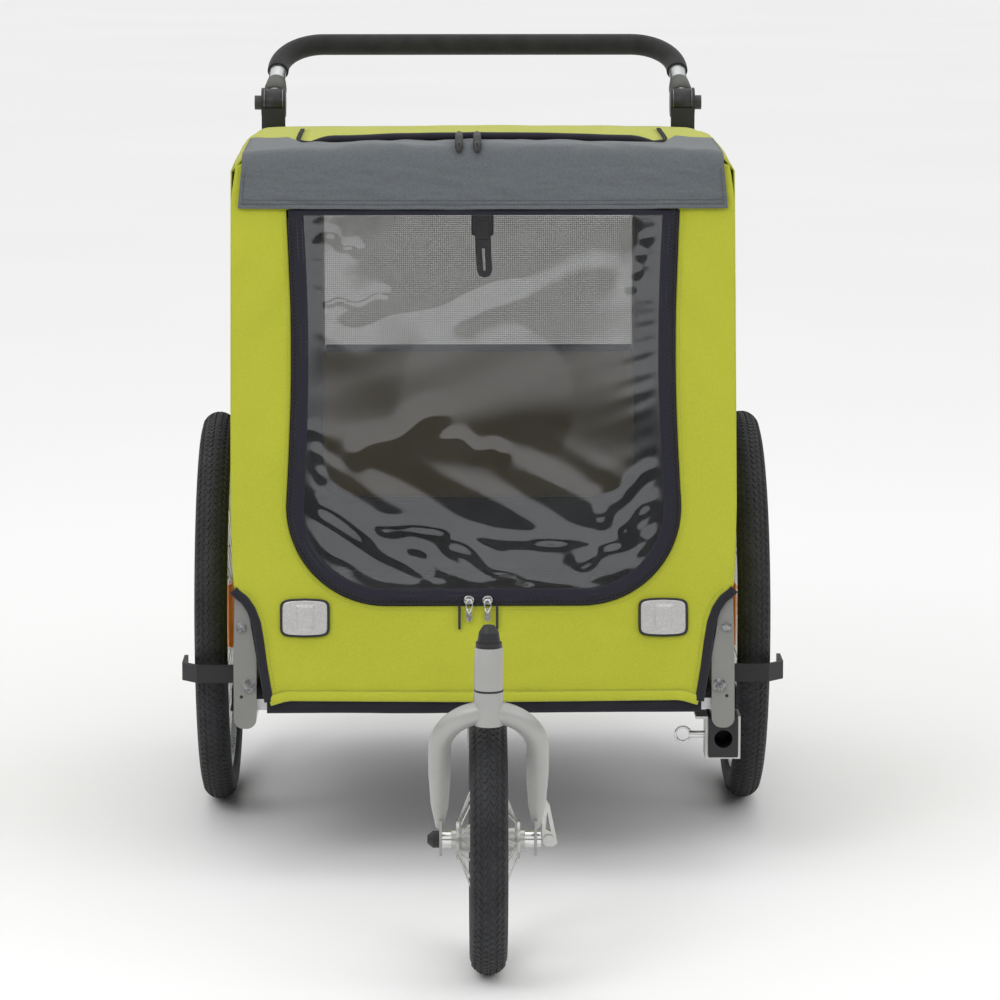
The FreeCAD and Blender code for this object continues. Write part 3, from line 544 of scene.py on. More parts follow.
# ------------------------------------------------------------------ front panel
# Steps along the four chains of a loop.
FRONT_STEPS, ROOF_STEPS, SIDE_STEPS = (40, 44, 40, 44), (44, 30, 44, 30), (60, 44, 60, 44)
U_START = 40  # first point of the U in a front or rear loop
BAND = 0.019  # width of the tape round the clear pane
WIN_TOP = 0.594
WIN_LOW = 0.1196
WIN_HALF = 0.235
WIN_ROUND = 0.118


def window_chains(inset, top=WIN_TOP):
    """The U of the front window, inset from its outer edge, as four chains of (u, v)."""
    return spread(u_chains(WIN_HALF - inset, WIN_LOW + inset, top, WIN_ROUND - inset, pinch=0.006),
                  FRONT_STEPS)


# Edge of a corner cut-out, outer end first: (u, v).
CUT_OUT = [(0.296, 0.1335), (0.286, 0.126), (0.278, 0.114), (0.272, 0.098), (0.268, 0.075),
           (0.264, 0.045), (0.257, 0.004)]
SIDE_ROUND = 0.022  # radius where the roof turns down
# Ridge of the roof, front to back: (y, z).
ROOF_PROFILE = [(-0.0605, 0.8630), (0.037, 0.8665), (0.137, 0.8680), (0.237, 0.8665), (0.430, 0.8535),
                (0.620, 0.8415)]


def roof_z(y):
    """Smooth ridge line of the roof."""
    for (y0, z0), (y1, z1) in zip(ROOF_PROFILE, ROOF_PROFILE[1:]):
        if y <= y1:
            t = (y - y0) / (y1 - y0)
            return z0 + (z1 - z0) * (t * t * (3 - 2 * t) * 0.35 + t * 0.65)
    return ROOF_PROFILE[-1][1]


def roof_drop(x, y=-0.06):
    """The roof bows up in the middle, less so at the back, and turns down at its sides."""
    bow = 0.0085 * (x / 0.27) ** 2 * (1 - 0.7 * clamped((y - 0.15) / 0.4))
    over = max(0.0, abs(x) - (HALF - SIDE_ROUND))
    return bow + SIDE_ROUND - math.sqrt(max(0.0, SIDE_ROUND ** 2 - over ** 2))


def panel_chains():
    """The outer edge of the front panel with its two bound corner cut-outs."""
    h = HALF
    cut = [(h - 0.0045, 0.137)] + CUT_OUT
    top = [(x, SLANT - 0.003 - roof_drop(x)) for x in [(h - 0.006) * (k / 15 - 1) for k in range(31)]]
    right = [top[-1], (h - 0.002, SLANT - 0.048), (h, SLANT - 0.062), (h, 0.5), (h, 0.24),
             (h - 0.002, 0.17)] + cut
    foot = [(0.257, 0.004), (0.235, 0.010), (0, 0.007), (-0.235, 0.010), (-0.257, 0.004)]
    return spread([top, right, foot, mirrored(right)], FRONT_STEPS)


def panel_swell(u, v):
    """How far the lime cloth stands off its flat, with pulls radiating from the window."""
    broad = 0.0022 * ripple((u, v, 0), 6, 3)
    pull = 0.0011 * ripple((u * 3 + v * 7, v * 9 - u * 4, 0), 5, 8)
    fold = 0.0018 * math.exp(-((v - 0.06) / 0.05) ** 2) * math.sin(u * 26 + 1.2)
    side = 0.0016 * math.exp(-((v - 0.50) / 0.07) ** 2) * math.sin((v * 60 + abs(u) * 85))
    return broad + pull + fold + side


INNER = ring(window_chains(-0.0015))
OUTER = ring(panel_chains())
panel = ring_sheet("front_panel_cloth", INNER, OUTER, 22, LIME,
                   lambda u, v, t: front(u, v, -0.001 + panel_swell(u, v) * calm_edges(t, 6, 7)))
thicken(panel, CLOTH)
fit(panel, "frame", "front_panel")

# Black binding on the corner cut-outs.
bindings = []
for sign in (1, -1):
    edge = [front(sign * x, y, 0.0005) for x, y in [(0.2995, 0.1375)] + CUT_OUT]
    smooth = resample(edge, 36)
    bindings.append(tube("binding", smooth, 0.0055, BLACK, 10, 0.42, [FRONT_OUT] * len(smooth)))
binding = merged("corner_binding", bindings)
fit(binding, "frame")

hem = resample([front(x, v, 0.0005) for x, v in ((-0.256, 0.005), (-0.235, 0.011), (0, 0.009),
                                                   (0.235, 0.011), (0.256, 0.005))], 60)
hem_fold = tube("front_hem", [p + FRONT_OUT * (0.0008 * math.sin(k * 0.9)) for k, p in enumerate(hem)],
                0.006, LIME, 10, 0.3, [FRONT_OUT] * len(hem))
fit(hem_fold, "frame")

outer_u = [front(p.x, p.y, 0.0012) for p in ring(window_chains(-0.006))[U_START:]]
seams = [flat_path(outer_u, FRONT_OUT)]
for sign in (1, -1):
    bound_edge = resample([front(sign * (x - 0.009), y + 0.005, 0.0014) for x, y in CUT_OUT], 30)
    seams.append(flat_path(bound_edge, FRONT_OUT))
seams.append(flat_path([front(x, 0.018, 0.0016) for x in (-0.245, 0.245)], FRONT_OUT))
stitch_line("front_stitching", seams, THREAD)

# ------------------------------------------------------------------ front door
DOOR_OUT = ring(window_chains(0.0015))
DOOR_IN = ring(window_chains(BAND, top=WIN_TOP - 0.006))


def zip_band(u, v, t):
    crown = 0.0016 * math.sin(math.pi * t) ** 0.6
    return front(u, v, -0.0002 + crown + 0.0006 * ripple((u, v, 0), 18, 5))


band = thicken(ring_sheet("door_band", DOOR_OUT, DOOR_IN, 8, NAVY, zip_band), 0.0012)
fit(band, "door", "front_door")


def coil_path(inset, lift):
    loop = ring(window_chains(inset))[U_START:]
    return flat_path([front(p.x, p.y, lift) for p in loop], FRONT_OUT)


zip_teeth("door_zip", coil_path(0.0052, 0.0012), "door")
stitch_line("door_stitching", [coil_path(0.0105, 0.0020), coil_path(0.0165, 0.0014)],
            DARK_THREAD, body="door")
welt = tube("door_welt", coil_path(0.0012, 0.0006)[0], 0.0016, BLACK, 8)
fit(welt, "door")

# Creases of the clear pane: start (u, v), end (u, v), height and half width.
CREASES = [
    ((-0.185, 0.566), (-0.152, 0.545), 0.0021, 0.0050), ((-0.186, 0.484), (-0.118, 0.491), 0.0018, 0.0045),
    ((-0.150, 0.452), (0.035, 0.510), -0.0026, 0.0150), ((-0.02, 0.470), (0.14, 0.520), 0.0012, 0.0200),
    ((-0.150, 0.300), (-0.06, 0.345), 0.0016, 0.0130), ((-0.04, 0.318), (0.02, 0.300), 0.0013, 0.0080),
    ((-0.085, 0.188), (-0.008, 0.140), 0.0030, 0.0085), ((-0.035, 0.195), (0.052, 0.146), 0.0034, 0.0100),
    ((-0.120, 0.214), (0.160, 0.190), 0.0021, 0.0075), ((-0.190, 0.235), (-0.070, 0.150), 0.0026, 0.0110),
    ((0.192, 0.240), (0.120, 0.165), 0.0024, 0.0090), ((0.196, 0.280), (0.140, 0.225), 0.0016, 0.0080),
    ((0.196, 0.560), (0.178, 0.500), 0.0017, 0.0050), ((-0.205, 0.330), (-0.190, 0.250), 0.0018, 0.0060),
]


def wrinkle(p):
    """Soft PVC: shallow slanting waves, with sharper creases towards the lower zip."""
    low = clamped((0.33 - p.y) / 0.16)
    rise = ripple((p.x * 0.8 - p.y * 0.3, p.y * 3.4 - p.x * 0.9, 0), 4.5, 2)
    fall = ripple((p.x * 1.0 + p.y * 0.8, p.y * 4.5 + p.x * 2.6, 0), 6.5, 9)
    height = 0.00055 * rise * (1 - low) + 0.0022 * fall * low
    for (u0, v0), (u1, v1), tall, wide in CREASES:
        run = Vector((u1 - u0, v1 - v0))
        along = clamped(Vector((p.x - u0, p.y - v0)).dot(run) / run.length_squared)
        near = math.hypot(p.x - u0 - run.x * along, p.y - v0 - run.y * along - 0.004 * math.sin(9 * along))
        height += tall * math.exp(-(near / wide) ** 2)
    return height


def pane_sheet():
    step = 0.0035
    verts, faces, index = [], [], {}
    nx, ny = int(0.44 / step), int(0.46 / step)
    half, low, radius = WIN_HALF - BAND + 0.006, WIN_LOW + BAND - 0.006, WIN_ROUND - BAND + 0.006
    for j in range(ny + 1):
        for i in range(nx + 1):
            u, v = -0.222 + i * 0.444 / nx, low + j * (WIN_TOP - 0.004 - low) / ny
            cx, cy = half - radius, low + radius
            over = math.hypot(max(0, abs(u) - cx), max(0, cy - v)) - radius
            if abs(u) > cx and v < cy and over > 0:
                d = Vector((abs(u) - cx, v - cy)).normalized() * radius
                if over > step * 1.5:
                    continue
                u, v = math.copysign(cx + d.x, u), cy + d.y
            index[i, j] = len(verts)
            verts.append((u, v))
    for (i, j) in index:
        corner = [(i, j), (i + 1, j), (i + 1, j + 1), (i, j + 1)]
        if all(c in index for c in corner):
            faces.append(tuple(index[c] for c in corner))
    return verts, faces


pane_uv, pane_faces = pane_sheet()


def pane_edge(u, v):
    """Distance in from the pane's sewn edge."""
    half, low, radius = WIN_HALF - BAND, WIN_LOW + BAND, WIN_ROUND - BAND
    cx, cy = half - radius, low + radius
    if abs(u) > cx and v < cy:
        return radius - math.hypot(abs(u) - cx, v - cy)
    return min(half - abs(u), v - low, WIN_TOP - v)


pane = new_object("clear_pane", [front(u, v, 0.0006 + wrinkle(Vector((u, v, 0)))
                                       * clamped(pane_edge(u, v) / 0.018))
                                 for u, v in pane_uv], pane_faces, PVC)
SETTLE_CAP = 0.012  # longest move of a point
SETTLE_SHARE = 0.4  # share of the move that is kept


def settle(obj, pinned):
    """Cloth simulation of one sheet held at its edge; the cut is a little large for its frame."""
    frames, grow, stiff = 14, 0.002, 18.0
    held = obj.vertex_groups.new(name="held")
    held.add([k for k, v in enumerate(obj.data.vertices) if pinned(k, v)], 1.0, "REPLACE")
    sim = obj.modifiers.new("sim", "CLOTH")
    sim.settings.quality = 5
    sim.settings.mass = 0.18
    sim.settings.tension_stiffness = sim.settings.compression_stiffness = stiff
    sim.settings.shear_stiffness = stiff * 0.5
    sim.settings.bending_stiffness = 12.0
    sim.settings.vertex_group_mass = "held"
    sim.settings.shrink_min = -grow
    sim.settings.effector_weights.gravity = 0.4
    sim.collision_settings.use_collision = False
    sim.collision_settings.use_self_collision = False
    sim.point_cache.frame_end = frames
    for k in range(1, frames + 1):
        bpy.context.scene.frame_set(k)
    dg = bpy.context.evaluated_depsgraph_get()
    settled = [v.co.copy() for v in obj.evaluated_get(dg).data.vertices]
    obj.modifiers.remove(sim)
    for v, new in zip(obj.data.vertices, settled):
        move = new - v.co
        if move.length > SETTLE_CAP:
            move = move.normalized() * SETTLE_CAP
        v.co += move * SETTLE_SHARE
    obj.vertex_groups.remove(held)
    bpy.context.scene.frame_set(1)
    obj.data.update()


settle(pane, lambda k, v: pane_edge(*pane_uv[k]) < 0.009)
thicken(pane, 0.0006)
fit(pane, "door", "front_window")

# ------------------------------------------------------------------ roof, hatch and flap
FLAP_HEM = 0.5950  # height of the hem up the front face
FLAP_HALF = 0.296
HANG_SHARE, BEND_SHARE = 0.62, 0.82  # where the flap starts and ends its bend over the front edge


def roof_point(x, y, lift=0.0):
    sag = 0.0016 * ripple((x, y, 0), 5, 12) + 0.0008 * ripple((x * 2, y * 2, 0), 11, 7)
    return Vector((x, y, roof_z(y) + 0.001 - roof_drop(x, y) + sag + lift))


HATCH_HALF, HATCH_FRONT, HATCH_REAR = 0.2255, -0.0015, 0.3305
HATCH_TURN = 0.075


def hatch_chains(inset):
    return spread(u_chains(HATCH_HALF - inset, HATCH_FRONT + inset, HATCH_REAR - inset * 0.4,
                           HATCH_TURN - inset, 8), ROOF_STEPS)


def roof_chains():
    h, f, r = HALF - 0.0005, ROOF_FRONT, REAR_Y
    chains = [[(-h, r), (h, r)], [(h, r), (h, f)], [(h, f), (-h, f)], [(-h, f), (-h, r)]]
    return spread(chains, ROOF_STEPS)


HOLE, RIM_LINE = ring(hatch_chains(-0.001)), ring(roof_chains())
roof = thicken(ring_sheet("roof_cloth", HOLE, RIM_LINE, 16, LIME, lambda x, y, t: roof_point(x, y)), CLOTH)
fit(roof, "frame", "roof_panel")

HATCH_EDGE = ring(hatch_chains(0.001))
HATCH_CORE = [Vector((0, 0.165, 0)).lerp(p, 0.03) for p in HATCH_EDGE]
hatch = ring_sheet("hatch_cloth", HATCH_CORE, HATCH_EDGE, 18, LIME,
                   lambda x, y, t: roof_point(x, y, 0.0006))
bm = bmesh.new()
bm.from_mesh(hatch.data)
bmesh.ops.contextual_create(bm, geom=[e for e in bm.edges if e.is_boundary and e.calc_length() < 0.0018])
bm.to_mesh(hatch.data)
bm.free()
thicken(hatch, CLOTH)
fit(hatch, "hatch", "roof_hatch")

zip_right, zip_front, zip_left = hatch_chains(-0.001)[1:]
zip_plan = zip_right[8:] + zip_front[1:] + zip_left[1:-8]
roof_zip = [roof_point(p.x, p.y, 0.0022 - 0.0014 * clamped(p.y / 0.03)) for p in zip_plan]
behind = [clamped((p.y - 0.006) / 0.02) for p in roof_zip]
tape = tube("hatch_zip_tape", [p + Vector((0, 0, 0.0045 * (1 - back))) for p, back in zip(roof_zip, behind)],
            [0.0064 - 0.0042 * back for back in behind], NAVY, 12, 0.8, [UP] * len(roof_zip))
fit(tape, "hatch")
zip_teeth("hatch_zip", flat_path(roof_zip, UP), "hatch", lift=0.0016)


def flap_profile(t, x):
    """From the hem up the front, round the roof edge and back to the zip."""
    bow = 0.0012 * (1 - (x / FLAP_HALF) ** 2)
    hem = front(0, FLAP_HEM - bow + 0.002, 0.0026)
    top = front(0, 0.648, 0.0030)
    reach = -0.009 + 0.115 * clamped((abs(x) - 0.218) / 0.022)
    back = Vector((0, reach, max(0.8690, roof_z(reach) + 0.0032)))
    bend, over = Vector((0, -0.0665, 0.8690)), Vector((0, -0.046, 0.8675))
    if t < HANG_SHARE:
        return hem.lerp(top, t / HANG_SHARE)
    if t < BEND_SHARE:
        q = (t - HANG_SHARE) / (BEND_SHARE - HANG_SHARE)
        return top * (1 - q) ** 2 + bend * 2 * q * (1 - q) + over * q * q
    return over.lerp(back, (t - BEND_SHARE) / (1 - BEND_SHARE))


def flap_sheet(s, t):
    half = FLAP_HALF - 0.002 - 0.007 * t
    x = (2 * s - 1) * half
    p = flap_profile(t, x)
    out = 0.0022 * ripple((x * 1.2, t * 0.3, 0), 9, 21)
    out += 0.0022 * ripple((x * 2 + t * 0.3, t * 0.5, 0), 13, 5)
    out += 0.0012 * ripple((x * 3 - t * 0.5, t * 0.9 + x, 0), 15, 14)
    out += 0.0009 * math.sin(x * 62 + 2.5 * t) * (1 - min(1, t * 5) * 0.7)
    normal = FRONT_OUT.lerp(UP, clamped((t - 0.6) / 0.22))
    drop = roof_drop(x) * clamped((t - 0.45) / 0.35)
    p = p + normal * (out + 0.0004) - Vector((0, 0, drop))
    return Vector((x, p.y, p.z))


flap = thicken(grid("flap_cloth", flap_sheet, 110, 44, SLATE), CLOTH, 1.0)
fit(flap, "frame", "front_flap")


def flap_line(t, s0=0.01, s1=0.99, lift=0.0022):
    return flat_path([flap_sheet(s0 + (s1 - s0) * k / 80, t) + FRONT_OUT * lift for k in range(81)],
                     FRONT_OUT)


def flap_side(s):
    return flat_path([flap_sheet(s, 0.02 + 0.6 * k / 24) + FRONT_OUT * 0.0022 for k in range(25)], FRONT_OUT)


stitch_line("flap_stitching", [flap_line(0.04), flap_line(0.10), flap_side(0.008), flap_side(0.992)],
            DARK_THREAD)
hem_line = flap_line(0.0, 0.0, 1.0, 0.0012)[0]
flap_roll = tube("flap_hem", hem_line, 0.0022, SLATE, 8, 0.7, [FRONT_OUT] * len(hem_line))
fit(flap_roll, "frame")


# ------------------------------------------------------------------ side walls
def side_front_y(z):
    """Front edge of the side wall at height z."""
    lean_y = FOOT.y + 0.0036 + (z - FOOT.z) * math.tan(LEAN)
    return lean_y + (0.018 if z < 0.352 else 0.0)


def side_chains():
    top = [REAR_Y - 0.001 - 0.68 * k / 20 for k in range(21)]
    top = [(y, roof_z(y) - roof_drop(HALF, y) + 0.006) for y in top]
    top = [(max(y, side_front_y(z)), z) for y, z in top]
    top[-1] = (side_front_y(0.836), 0.836)
    low = [(side_front_y(0.2285), 0.2285), (0.213, 0.2285), (0.213, 0.274), (0.261, 0.274),
           (0.261, 0.2285), (REAR_Y - 0.001, 0.2285)]
    front_edge = [(side_front_y(z), z) for z in (0.836, 0.6, 0.4, 0.353, 0.350, 0.30, 0.2285)]
    chains = [top, front_edge, low, [(REAR_Y - 0.001, 0.2285), top[0]]]
    return spread(chains, SIDE_STEPS)


def window_side_chains(inset):
    corners = [(0.540 - inset, 0.780 - inset), (-0.008 + inset, 0.780 - inset),
               (-0.062 + inset, 0.500 + inset), (0.540 - inset, 0.500 + inset)]
    r = 0.045 - inset * 0.5
    arcs = []
    for n, (y, z) in enumerate(corners):
        start = 90 * n
        sy = -1 if n in (0, 3) else 1
        sz = -1 if n in (0, 1) else 1
        arcs.append(arc((y + sy * r, z + sz * r), r, start, start + 90, 8))
    mid = [(a[:5], a[4:]) for a in arcs]
    chains = [mid[0][1] + mid[1][0], mid[1][1] + mid[2][0], mid[2][1] + mid[3][0], mid[3][1] + mid[0][0]]
    return spread(chains, SIDE_STEPS)


for tag, sign in (("left", 1), ("right", -1)):
    inner = ring(window_side_chains(-0.001))

    def wall(y, z, t, sign=sign):
        x = HALF - 0.0012 + (0.0022 * ripple((y, z, sign), 5, 31) - 0.001) * calm_edges(t, 5)
        x -= 0.005 * clamped((0.44 - z) / 0.12) * clamped((0.13 - y) / 0.25)
        over = max(0.0, z - (roof_z(max(y, ROOF_FRONT)) - SIDE_ROUND + 0.002))
        x -= over * over * 6
        return Vector((sign * x, y, z))

    side = ring_sheet(f"side_cloth_{tag}", inner, ring(side_chains()), 18, LIME, wall)
    thicken(side, CLOTH, offset=-1.0 if sign > 0 else 1.0)
    fit(side, "frame", f"side_panel_{tag}")
    net_edge = ring(window_side_chains(-0.010))
    net_core = [Vector((0.25, 0.64, 0)).lerp(p, 0.02) for p in net_edge]

    def net(y, z, t, sign=sign):
        sag = 0.0025 * ripple((y, z, 0), 4, 17) * (1 - t)
        return Vector((sign * (HALF - 0.0036 - abs(sag)), y, z))

    mesh = thicken(ring_sheet(f"side_net_{tag}", net_core, net_edge, 20, NET, net), 0.0006)
    fit(mesh, "frame", f"side_mesh_{tag}")
    frame_line = [Vector((sign * (HALF - 0.0004), p.x, p.y)) for p in ring(window_side_chains(-0.006))]
    tape = tube(f"side_window_tape_{tag}", frame_line, 0.0075, BLACK, 8, 0.22,
                [Vector((sign, 0, 0))] * len(frame_line), closed=True)
    fit(tape, "frame")
    rows = []
    for inset in (-0.0105, -0.0015):
        loop = ring(window_side_chains(inset))
        loop.append(loop[0])
        rows.append(flat_path([Vector((sign * (HALF + 0.0014), p.x, p.y)) for p in loop],
                              Vector((sign, 0, 0))))
    stitch_line(f"side_stitching_{tag}", rows, DARK_THREAD)


# ------------------------------------------------------------------ rear wall and its door
REAR_HALF, REAR_LOW, REAR_HIGH, REAR_ROUND = 0.2445, 0.3265, 0.8005, 0.0905
NET_HALF, NET_LOW, NET_HIGH = 0.210, 0.537, 0.790
REAR_IN, REAR_OUT = REAR_Y - 0.0016, REAR_Y - 0.0004


def rear_chains(inset):
    return spread(u_chains(REAR_HALF - inset, REAR_LOW + inset, REAR_HIGH - inset, REAR_ROUND - inset),
                  FRONT_STEPS)


def rear_edge_chains():
    h, low = HALF - 0.0015, 0.2225
    top = [(x, roof_z(REAR_Y) - roof_drop(x, REAR_Y)) for x in [h * (k / 15 - 1) for k in range(31)]]
    high = top[0][1]
    chains = [top, [(h, high), (h, low)], [(h, low), (-h, low)], [(-h, low), (-h, high)]]
    return spread(chains, FRONT_STEPS)


def inner_lining_or_shade(obj, lining_or_shade):
    """A second cloth on the face of a thickened rear sheet that looks forward, into the cabin: a black
    lining on the rear wall, and painted shade on the door's lower half.
    """
    if sum(f.normal.y * f.area for f in obj.data.polygons) < 0:
        outer = obj.data.materials[0]
        obj.data.materials[0] = lining_or_shade
        obj.data.materials.append(outer)
    else:
        obj.data.materials.append(lining_or_shade)
    obj.modifiers["thickness"].material_offset = 1
    return obj


def rear_place(x, z, t):
    return Vector((x, REAR_OUT + (0.0016 * ripple((x, z, 0), 6, 41) - 0.0004) * calm_edges(t), z))


rear = ring_sheet("rear_cloth", ring(rear_chains(-0.001)), ring(rear_edge_chains()), 12, LIME, rear_place)
inner_lining_or_shade(thicken(rear, CLOTH), LINING)
fit(rear, "frame", "rear_panel")

# The zipped-in door: a dark U band, a lower half whose inner face is painted olive-brown shade, and a mesh
# upper half.
DOOR_RIM = ring(rear_chains(-0.004))
DOOR_HOLE = [Vector((p.x, p.y - 0.028 * clamped((0.47 - p.y) / 0.109), 0))
             for p in ring(rear_chains(0.034))]
u_band = ring_sheet("rear_door_band", DOOR_RIM, DOOR_HOLE, 6, BLACK,
                    lambda x, z, t: Vector((x, REAR_IN + 0.0008 * math.sin(3.1 * t), z)))
thicken(u_band, 0.0012, 0.0)
fit(u_band, "back_door", "rear_door")


def rear_half_width(z):
    """Half the width of the band's opening at height z."""
    low, r = REAR_LOW + 0.003, REAR_ROUND - 0.031
    if z >= low + r:
        return NET_HALF + 0.004
    return NET_HALF + 0.004 - r + math.sqrt(max(0.0, r * r - (low + r - z) ** 2))


def rear_low(s, t):
    z = REAR_LOW + 0.003 + (NET_LOW - 0.001 - REAR_LOW) * t
    x = (2 * s - 1) * rear_half_width(z)
    sag = 0.004 * ripple((x, z * 1.4, 0), 6, 19) * math.sin(math.pi * s) ** 0.5
    return Vector((x, REAR_IN - 0.0005 + sag * 0.5, z))


# Its inner face is LIME_SHADE: the lime cloth painted as it looks in shadow from inside the cabin.
low_cloth = inner_lining_or_shade(thicken(grid("rear_door_cloth", rear_low, 70, 34, LIME), 0.0012, 0.0), LIME_SHADE)
fit(low_cloth, "back_door")


def rear_net(s, t):
    x, z = (2 * s - 1) * (NET_HALF + 0.004), NET_LOW - 0.004 + (NET_HIGH + 0.006 - NET_LOW) * t
    return Vector((x, REAR_IN - 0.0012 + 0.0012 * ripple((x, z, 0), 6, 23), z))


screen = thicken(grid("rear_net", rear_net, 40, 26, NET), 0.0005)
fit(screen, "back_door")
seam = [Vector((x, REAR_IN - 0.0016, NET_LOW)) for x in (-NET_HALF, NET_HALF)]
tape = tube("rear_net_tape", resample(seam, 20), 0.005, LINING, 8, 0.25, [Vector((0, -1, 0))] * 21)
fit(tape, "back_door")
rear_zip = [Vector((p.x, REAR_Y + 0.0006, p.y)) for p in ring(rear_chains(-0.0006))[U_START:]]
zip_teeth("rear_zip", flat_path(rear_zip, Vector((0, 1, 0))), "back_door")

# ------------------------------------------------------------------ skirt, hand strap and zip pulls
SKIRT_LOW, SKIRT_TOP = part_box("base_skirt")[0].z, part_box("base_skirt")[1].z


def strip(name, line, low, high, out):
    """One straight run of the skirt with a rolled lower edge."""
    line = resample(line, 90)

    def point(s, t):
        p = line[int(round(s * 90))]
        z = low + (high - low) * t + 0.001 * ripple(p, 9, 3) * (1 - t)
        return Vector((p.x, p.y, z)) + out * (0.0010 * ripple((p.x, p.y, z), 24, 6) + 0.0003)

    cloth_strip = grid(name, point, 90, 5, BLACK)
    roll = tube(name + "_roll", [Vector((p.x, p.y, low + 0.0022 + 0.001 * ripple(p, 9, 3))) + out * 0.0002
                                 for p in line], 0.0024, BLACK, 8)
    thicken(cloth_strip, 0.0016, 0.0)
    return [cloth_strip, roll]


runs = strip("front_run", [Vector((-0.2595, FOOT.y + 0.0050, 0)), Vector((0.2595, FOOT.y + 0.0050, 0))],
             SKIRT_LOW, FOOT.z + 0.0115, Vector((0, -1, 0)))
runs += strip("rear_run", [Vector((0.3012, REAR_Y - 0.0012, 0)), Vector((-0.3012, REAR_Y - 0.0012, 0))],
              SKIRT_LOW, SKIRT_TOP, Vector((0, 1, 0)))
for sign in (1, -1):
    for y0, y1 in ((-0.186, -0.0515), (-0.0355, REAR_Y - 0.001)):
        x = sign * (HALF - 0.0014)
        runs += strip("side_run", [Vector((x, y0, 0)), Vector((x, y1, 0))], SKIRT_LOW, SKIRT_TOP,
                      Vector((sign, 0, 0)))
skirt = merged("skirt_cloth", runs)
fit(skirt, "frame", "base_skirt")


def rounded_box(name, centre, size, radius, mat):
    """A moulded block with rolled edges and a faint crown on its faces."""
    bm = bmesh.new()
    bmesh.ops.create_cube(bm, size=1)
    bmesh.ops.subdivide_edges(bm, edges=bm.edges[:], cuts=3, use_grid_fill=True)
    for v in bm.verts:
        x, y, z = v.co
        v.co = Vector((x * size[0] * (1 + 0.05 * (0.25 - z * z)), y * size[1] * (1 + 0.08 * (0.25 - z * z)),
                       z * size[2] * (1 + 0.05 * (0.25 - x * x)))) + Vector(centre)
    for face in bm.faces:
        face.smooth = True
    obj = baked(name, bm, [mat])
    edge = obj.modifiers.new("edges", "BEVEL")
    edge.width, edge.segments, edge.limit_method = radius, 3, "ANGLE"
    edge.harden_normals = True
    return obj


def plate(name, outline, holes, depth, mat, place, bevel=0.0006):
    """A flat stamped or moulded plate from 2-D outlines; place() turns (x, z, depth) into a point."""
    curve = bpy.data.curves.new(name, "CURVE")
    curve.dimensions, curve.fill_mode = "2D", "BOTH"
    curve.extrude, curve.bevel_depth, curve.bevel_resolution = depth / 2 - bevel, bevel, 1
    for loop in [outline] + holes:
        spline = curve.splines.new("POLY")
        spline.points.add(len(loop) - 1)
        for point, (x, y) in zip(spline.points, loop):
            point.co = (x, y, 0, 1)
        spline.use_cyclic_u = True
    temp = placed(name, curve)
    mesh = bpy.data.meshes.new_from_object(temp.evaluated_get(bpy.context.evaluated_depsgraph_get()))
    bpy.data.objects.remove(temp)
    bm = bmesh.new()
    bm.from_mesh(mesh)
    bmesh.ops.remove_doubles(bm, verts=bm.verts[:], dist=1e-5)
    for v in bm.verts:
        v.co = place(v.co.x, v.co.y, v.co.z)
    bmesh.ops.recalc_face_normals(bm, faces=bm.faces[:])
    return baked(name, bm, [mat])


def pill(width, height, low=0.0):
    """A slot outline: straight sides with round ends, from low upwards."""
    r, turns = width / 2, [math.pi * k / 8 for k in range(9)]
    return ([(r * math.cos(a), low + height - r + r * math.sin(a)) for a in turns]
            + [(-r * math.cos(a), low + r - r * math.sin(a)) for a in turns])


BAR_Y, BAR_Z, LOOP = -0.008, 0.848, 0.0095
WEB = 0.0205
loop_line = [(BAR_Y - 0.0035, 0.778), (BAR_Y - LOOP * 0.8, 0.815)]
loop_line += [(BAR_Y - LOOP * math.cos(a), BAR_Z + LOOP * math.sin(a))
              for a in [math.pi * k / 12 for k in range(13)]]
loop_line += [(BAR_Y + LOOP * 0.8, 0.815), (BAR_Y + 0.0005, 0.778)]
loop_line = resample([(0, y, z) for y, z in loop_line], 60)
web = thicken(grid("strap_web", lambda s, t: loop_line[int(round(t * 60))] + Vector(((s - 0.5) * WEB, 0, 0)),
                   6, 60, BLACK), 0.0013, 0.0)
fit(web, "strap", "hand_strap")
buckle = rounded_box("strap_buckle", (0, BAR_Y - 0.0005, 0.7680), (0.027, 0.011, 0.030), 0.004, PLASTIC)
clip = rounded_box("clip", (0, BAR_Y - 0.005, 0.7600), (0.017, 0.006, 0.024), 0.0025, PLASTIC)
cheek = [(-0.0085, 0.757), (-0.0085, 0.7105), (-0.006, 0.7045), (0, 0.7022), (0.006, 0.7045),
         (0.0085, 0.7105), (0.0085, 0.757)]
tongue = plate("tongue", cheek, [pill(0.0055, 0.030, 0.7085)], 0.004, PLASTIC,
               lambda x, z, d: Vector((x + 0.05 * (0.757 - z), BAR_Y + d, z)), 0.001)
buckle = merged("strap_buckle", [buckle, clip, tongue])
fit(buckle, "strap")


def slider(name, centre, normal, along, mat, body):
    """A zip slider with its bail; the eye of its pull is made apart."""
    normal, along = Vector(normal), Vector(along)
    side = normal.cross(along)

    def at(a, b, c):
        return Vector(centre) + along * a + side * b + normal * c

    shield = plate("shield", [(x, y - 0.0055) for x, y in pill(0.0090, 0.011)], [], 0.0018, mat,
                   lambda x, y, d: at(y, x * (1.0 - 22 * y), 0.0018 + d), 0.0006)
    under = plate("under", [(x, y - 0.005) for x, y in pill(0.0078, 0.010)], [], 0.0014, mat,
                  lambda x, y, d: at(y, x, d), 0.0005)
    bail = tube("bail", [at(-0.004, 0, 0.0025), at(-0.0025, 0, 0.0046), at(0.001, 0, 0.0054),
                         at(0.0035, 0, 0.0040), at(0.004, 0, 0.0025)], 0.0011, mat, 8)
    fit(merged(name, [shield, under, bail]), body)


